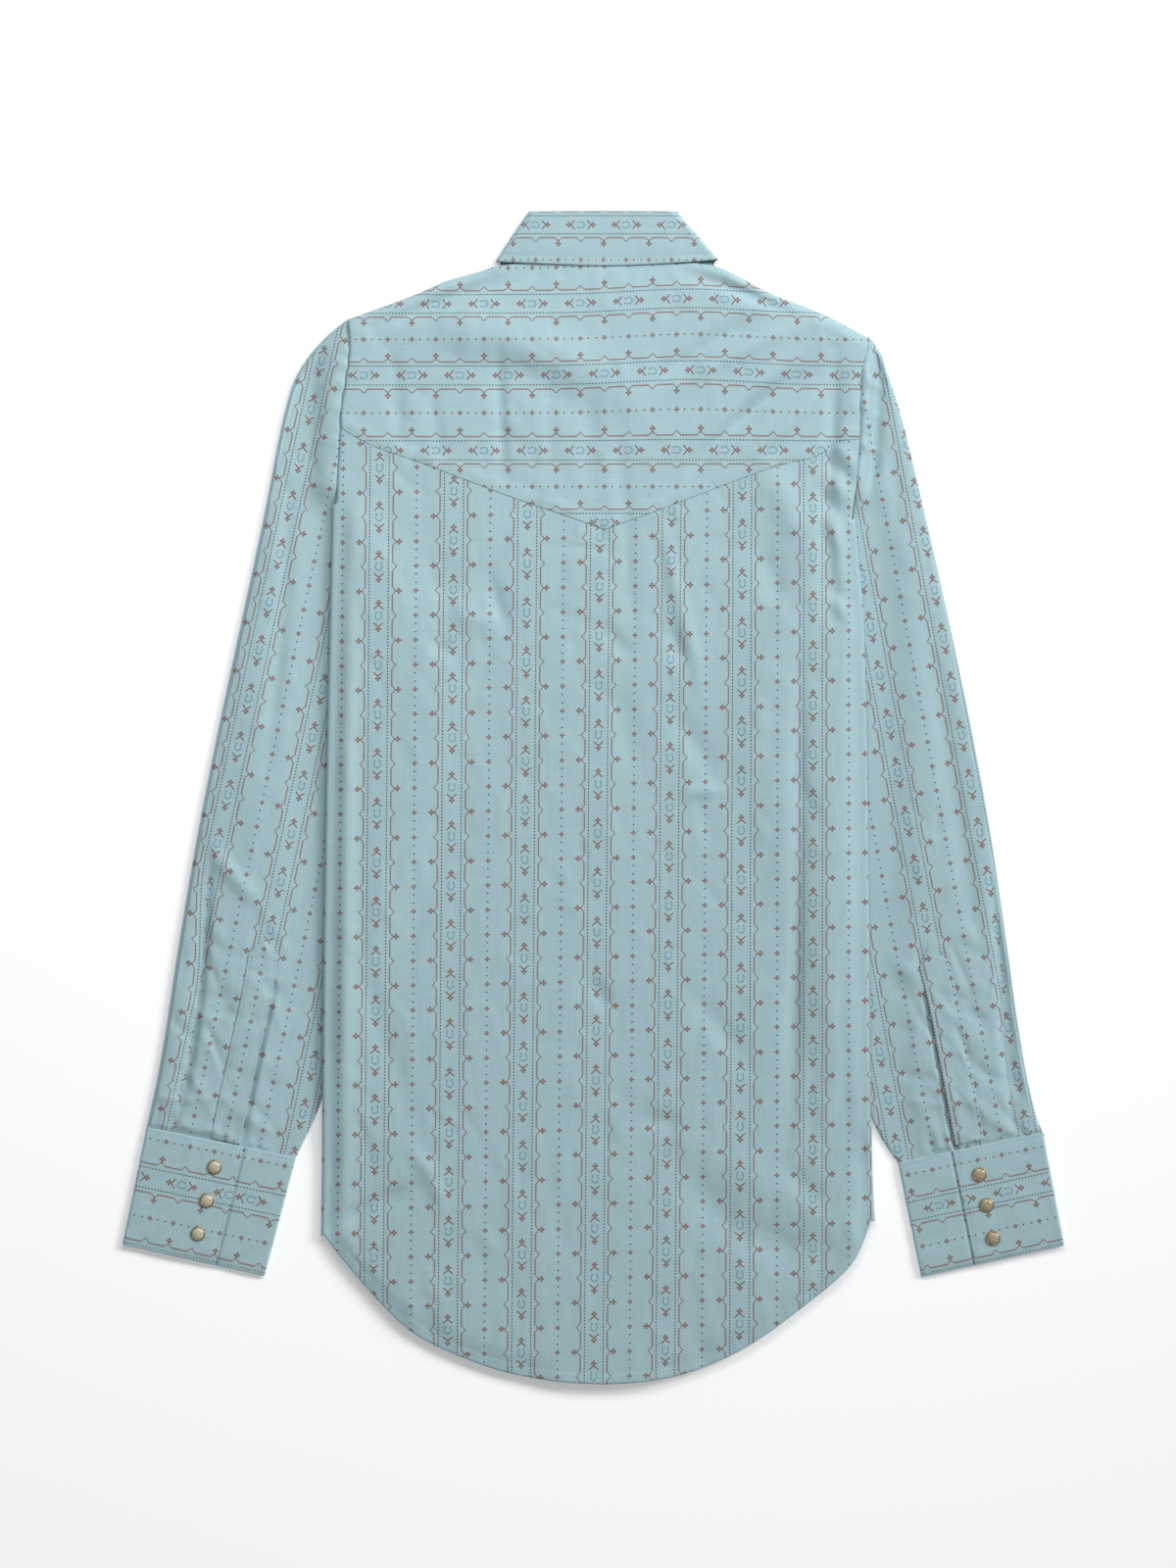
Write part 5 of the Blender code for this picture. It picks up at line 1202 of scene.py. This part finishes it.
brass = two_toned("brass_toned_rim", (0.24, 0.18, 0.1), (0.55, 0.45, 0.3), 700,
                  {"Metallic": 0.85, "Roughness": 0.34})
pearls = [two_toned(name, dark, light, 260, {"Roughness": 0.28, "Coat Weight": 0.8, "Coat Roughness": 0.08},
                    span=(0.32, 0.7), detail=4, distortion=1.6)
          for name, dark, light in (("pale_pearl", (0.42, 0.37, 0.26), (0.70, 0.66, 0.54)),
                                    ("golden_pearl", (0.30, 0.22, 0.13), (0.55, 0.46, 0.32)))]


def snap_cap(name, pearl, height, steps=40):
    """A cap turned about Z from two profiles, the rim's and the pearl's."""
    points, faces, finishes = [], [], []
    turns = np.linspace(0, 2 * math.pi, steps, endpoint=False)
    for number, profile in enumerate((RIM, PEARL)):
        base = len(points)
        points += [(radius * math.cos(a), radius * math.sin(a), z * height / CAP_HEIGHT)
                   for radius, z in profile for a in turns]
        for start in range(base, len(points) - steps, steps):
            faces += [(start + k, start + (k + 1) % steps, start + steps + (k + 1) % steps, start + steps + k)
                      for k in range(steps)]
            finishes += [number] * steps
    faces.append(tuple(range(steps - 1, -1, -1)))
    finishes.append(0)
    cap = made(name, points, faces, brass, pearl)
    cap.data.polygons.foreach_set("material_index", finishes)
    return cap


snaps = [(f"cuff_snap_{side}_{count}", pearl, CAP_HEIGHT, (x, y, CUFF_SNAP_Z), 0)
         for (side, places), pearl in zip(SNAPS.items(), pearls) for count, (x, y) in enumerate(places, 1)]
snaps += [(f"front_snap_{count}", pearls[0], FRONT_CAP_HEIGHT, (CENTRE_X, y, FRONT_CAP_HEIGHT), math.pi)
          for count, y in enumerate(FRONT_SNAPS_Y, 1)]
for node, pearl, height, place, turned_over in snaps:
    cap = snap_cap(f"{node}_cap", pearl, height)
    cap.location = [value * MM for value in place]
    cap.rotation_euler.x = turned_over
    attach(cap, "root")
    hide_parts(node)

# ---------------------------------------------------------------------------------------------
# Collar.  The stand is a band sewn to the neckline and buttoned in front; the leaf is sewn to its
# top, rolls over it and lies on the yoke, with its points under the fronts.  Both are two layers
# over a stiffener, and the leaf is cut with the print along it and stitched twice near its edge.

LEAF_ROLL_FRONT = [(4, 373), (-22, 392), (-47.5, 430.1)]
LEAF_EDGE_FRONT = [(-42, 305), (-58, 345), (-72.4, 393)]
LEAF_ROLL_BACK = [(-47.5, 430.1), (5, 430.5), (61, 430.1)]
LEAF_EDGE_BACK = [(-72.4, 393), (-30, 391.2), (8, 389.6), (50, 391.4), (92.4, 394.3)]
LEAF_TOP_ROLL, LEAF_TOP_EDGE, LEAF_TOP_CORNER = 10.4, 8.9, 7.3
ROLL_RADIUS = 1.4
LEAF_STITCHES = (4.6, 6.6)
STAND_LOW_FRONT = [(21, 347), (8, 346), (-22, 352), (-50, 371), (-65, 393)]
STAND_HIGH_FRONT = [(21, 366), (8, 365), (-20, 381), (-48, 418)]
STAND_LOW_BACK = [(-65, 393), (8, 398.4), (82, 393.8)]
STAND_HIGH_BACK = [(-48, 418), (-40, 423.5), (8, 426), (57, 423.5), (65, 417.5)]
STAND_TOP = 8.0
MIRROR = 2 * CENTRE_X + 1
TURN_STEPS = 11


def mirrored(points):
    """The same line at the other end of the collar, from the neck's corner to the front."""
    return [(MIRROR - x, y) for x, y in points[::-1]]


def towards_middle(point):
    return np.array((1.0 if point[0] < CENTRE_X else -1.0, 0.0))


def corner_share(roll, reach):
    """1 at the collar's side edges, falling to 0 over `reach` towards its middle."""
    away = min(abs(roll[0] - LEAF_ROLL_BACK[0][0]), abs(roll[0] - LEAF_ROLL_BACK[-1][0]))
    return max(0.0, 1 - away / reach)


def round_the_neck(left, back, right, front_steps, back_steps):
    """Stations from the left front round the neck to the right: a point on each of two lines, and
    a tilt, which is -90 degrees where the collar lies in front and 90 where it lies at the back.
    """
    def along(lines, steps, tilt):
        return [(a, b, math.radians(tilt)) for a, b in zip(*(spaced(line, steps) for line in lines))]

    def turning(end, sign):
        a, b = (np.array(line[end], dtype=float) for line in back)
        return [(a, b, sign * tilt) for tilt in np.radians(np.linspace(-90, 90, TURN_STEPS + 2))[1:-1]]

    return (along(left, front_steps, -90) + turning(0, 1) + along(back, back_steps, 90)
            + turning(-1, -1) + along(right, front_steps, -90))


LEAF_FRONT_STEPS, LEAF_BACK_STEPS = 22, 70
roll_angles = np.radians(np.linspace(-80, 75, 8))
profile = [(0.0, ROLL_RADIUS * (1 - math.sin(a)), ROLL_RADIUS * (1 - math.cos(a))) for a in roll_angles]
shares = np.concatenate([np.linspace(0.045, 0.8, 16), np.linspace(0.8, 0.985, 12)[1:], [0.993, 1.0]])
profile += [(share, 0.0, 1.2 * (1 - share) ** 8) for share in shares]
left, back = (LEAF_ROLL_FRONT, LEAF_EDGE_FRONT), (LEAF_ROLL_BACK, rounded(LEAF_EDGE_BACK))
right = (mirrored(LEAF_ROLL_FRONT), LEAF_EDGE_BACK[-1:] + mirrored(LEAF_EDGE_FRONT)[1:])
grid = []
for roll, edge, tilt in round_the_neck(left, back, right, LEAF_FRONT_STEPS, LEAF_BACK_STEPS):
    length = math.dist(edge, roll)
    ahead = (edge - roll) / length
    at_end = float(ramp((abs(edge[0] - 10) - 50) / 32))
    edge_top = LEAF_TOP_EDGE + (LEAF_TOP_CORNER - LEAF_TOP_EDGE) * at_end
    row = []
    for share, depth, push in profile:
        radius = (LEAF_TOP_ROLL + (edge_top - LEAF_TOP_ROLL) * share) / 2
        from_edge = length * (1 - share)
        shape = 0.35 * ramp((from_edge - 6) / 7) - 0.2 * math.exp(-((from_edge - 5.5) / 2.0) ** 2)
        shape = shape * (1 + math.sin(tilt)) / 2 - 0.5 * (1 - ramp(from_edge / 0.9))
        reach = radius - depth + shape
        turned = towards_middle(roll) * (radius - reach * math.cos(tilt)) * corner_share(roll, 12)
        spot = roll + (edge - roll) * share + ahead * push + turned
        row.append((*spot, radius + reach * math.sin(tilt)))
    grid.append(row)
grid = np.array(grid)
first = LEAF_FRONT_STEPS + TURN_STEPS
last = first + LEAF_BACK_STEPS - 1
run = 1.09 * np.linalg.norm(np.diff(grid, axis=0), axis=2)
v = -(grid[:, :, 0] + 42.4) * 1.09
v[:first] = v[first] + np.cumsum(run[:first][::-1], axis=0)[::-1]
v[last + 1:] = v[last] - np.cumsum(run[last:], axis=0)
u = (grid[:, :, 1] - 419.9) * 1.067
u[:, :len(roll_angles)] += np.linspace(7, 0, len(roll_angles))
u[:first], u[last + 1:] = u[first], u[last]
collar_leaf = cloth("collar_leaf_cloth", grid, np.dstack([u, v]), poplin, wall=1.0)

rows = []
for inset in LEAF_STITCHES:
    lower = beside(rounded(LEAF_EDGE_BACK), inset)
    left = np.array([LEAF_ROLL_BACK[0] + np.array((inset * 0.95, -1.5)), lower[0] + (inset, 0)])
    right = np.array([lower[-1] - (inset, 0), LEAF_ROLL_BACK[-1] + np.array((-inset * 0.95, -1.5))])
    rows += [left, np.concatenate([left[-1:], lower[2:-2], right[:1]]), right]
leaf_stitches = stitched("collar_leaf_stitches", surface_of(collar_leaf), rows)

STAND_FRONT_STEPS, STAND_BACK_STEPS, STAND_COLUMNS = 24, 40, 12
# How much the stand's two ends are raised, from the front to the neck's corner and the other way
LEFT_LIFTS, RIGHT_LIFTS = [0.3, 0.3, 0.2, 0, 0, 0], [0, 0, 0, 0.9, 1.7, 1.7]
places = np.linspace(0, 5, STAND_FRONT_STEPS)
lifts = np.concatenate([np.interp(places, range(6), LEFT_LIFTS), np.zeros(STAND_BACK_STEPS + 2 * TURN_STEPS),
                        np.interp(places, range(6), RIGHT_LIFTS)])
left, back = (STAND_LOW_FRONT, STAND_HIGH_FRONT), (STAND_LOW_BACK, STAND_HIGH_BACK)
right = (STAND_LOW_BACK[-1:] + mirrored(STAND_LOW_FRONT)[1:],
         STAND_HIGH_BACK[-1:] + mirrored(STAND_HIGH_FRONT)[1:])
stations = round_the_neck(left, back, right, STAND_FRONT_STEPS, STAND_BACK_STEPS)
grid = []
for (low, high, tilt), lift in zip(stations, lifts):
    row = []
    for share in np.linspace(0, 1, STAND_COLUMNS):
        top = NECK_EDGE + (STAND_TOP - NECK_EDGE) * share
        radius, level = (top - NECK_BED) / 2, (top + NECK_BED) / 2
        shift = radius * (1 - math.cos(tilt)) * corner_share(high, 10)
        spot = low + (high - low) * share + towards_middle(high) * shift
        row.append((*spot, level + radius * math.sin(tilt) + lift))
    grid.append(row)
grid = np.array(grid)[:, ::-1]
cut = np.dstack(np.meshgrid(np.linspace(-14, 14, STAND_COLUMNS), run_along(grid[:, 6])))
collar_stand = cloth("collar_stand_cloth", grid, cut, poplin, wall=0.9)

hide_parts("collar_leaf")
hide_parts("collar_stand")
for piece in (collar_leaf, leaf_stitches, collar_stand):
    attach(piece, "root")

# ---------------------------------------------------------------------------------------------
# Table, light and camera.  A plain white table under soft studio light that comes from above the
# collar on the right, with the camera straight over the shirt.

FAR = 3000
white = two_toned("white_table", (0.86, 0.86, 0.86), (0.9, 0.9, 0.9), 4,
                  {"Roughness": 0.9, "Emission Color": (1, 1, 1, 1), "Emission Strength": 0.24},
                  where="Generated")
floor = made("floor", [(-FAR, -FAR, 0), (FAR, -FAR, 0), (FAR, FAR, 0), (-FAR, FAR, 0)], [(0, 1, 2, 3)], white)
floor.location.z = -0.4 * MM

world = bpy.data.worlds.new("studio")
bpy.context.scene.world = world
world.use_nodes = True
world.node_tree.nodes["Background"].inputs[0].default_value = (0.97, 0.985, 1.0, 1)
world.node_tree.nodes["Background"].inputs[1].default_value = 0.28


def placed_light(name, kind, energy, direction):
    """A light that shines in the direction given."""
    data = bpy.data.lights.new(name, kind)
    data.energy = energy
    light = bpy.data.objects.new(name, data)
    light.rotation_euler = Vector(direction).to_track_quat("-Z", "Y").to_euler()
    bpy.context.scene.collection.objects.link(light)
    return light


TOP_LIGHT_AT = (0.1, 0.8, 1.05)
TOP_LIGHT_AIM = (0, 0.1, 0)
top_light = placed_light("top_light", "AREA", 8.6, Vector(TOP_LIGHT_AIM) - Vector(TOP_LIGHT_AT))
top_light.location = TOP_LIGHT_AT
top_light.data.shape = "RECTANGLE"
top_light.data.size, top_light.data.size_y = 1.0, 0.5
side_light = placed_light("side_light", "SUN", 2.0, (-0.68, -0.4, -0.46))
side_light.data.angle = math.radians(22)

camera_data = bpy.data.cameras.new("camera")
camera_data.sensor_fit = "VERTICAL"
camera_data.sensor_height = 36
camera_data.lens = 156.25
camera_data.clip_end = 50
camera = bpy.data.objects.new("camera", camera_data)
camera.location = (-0.0040, 0.0099, 5.0)
bpy.context.scene.collection.objects.link(camera)
bpy.context.scene.camera = camera
bpy.context.scene.view_settings.view_transform = "Standard"
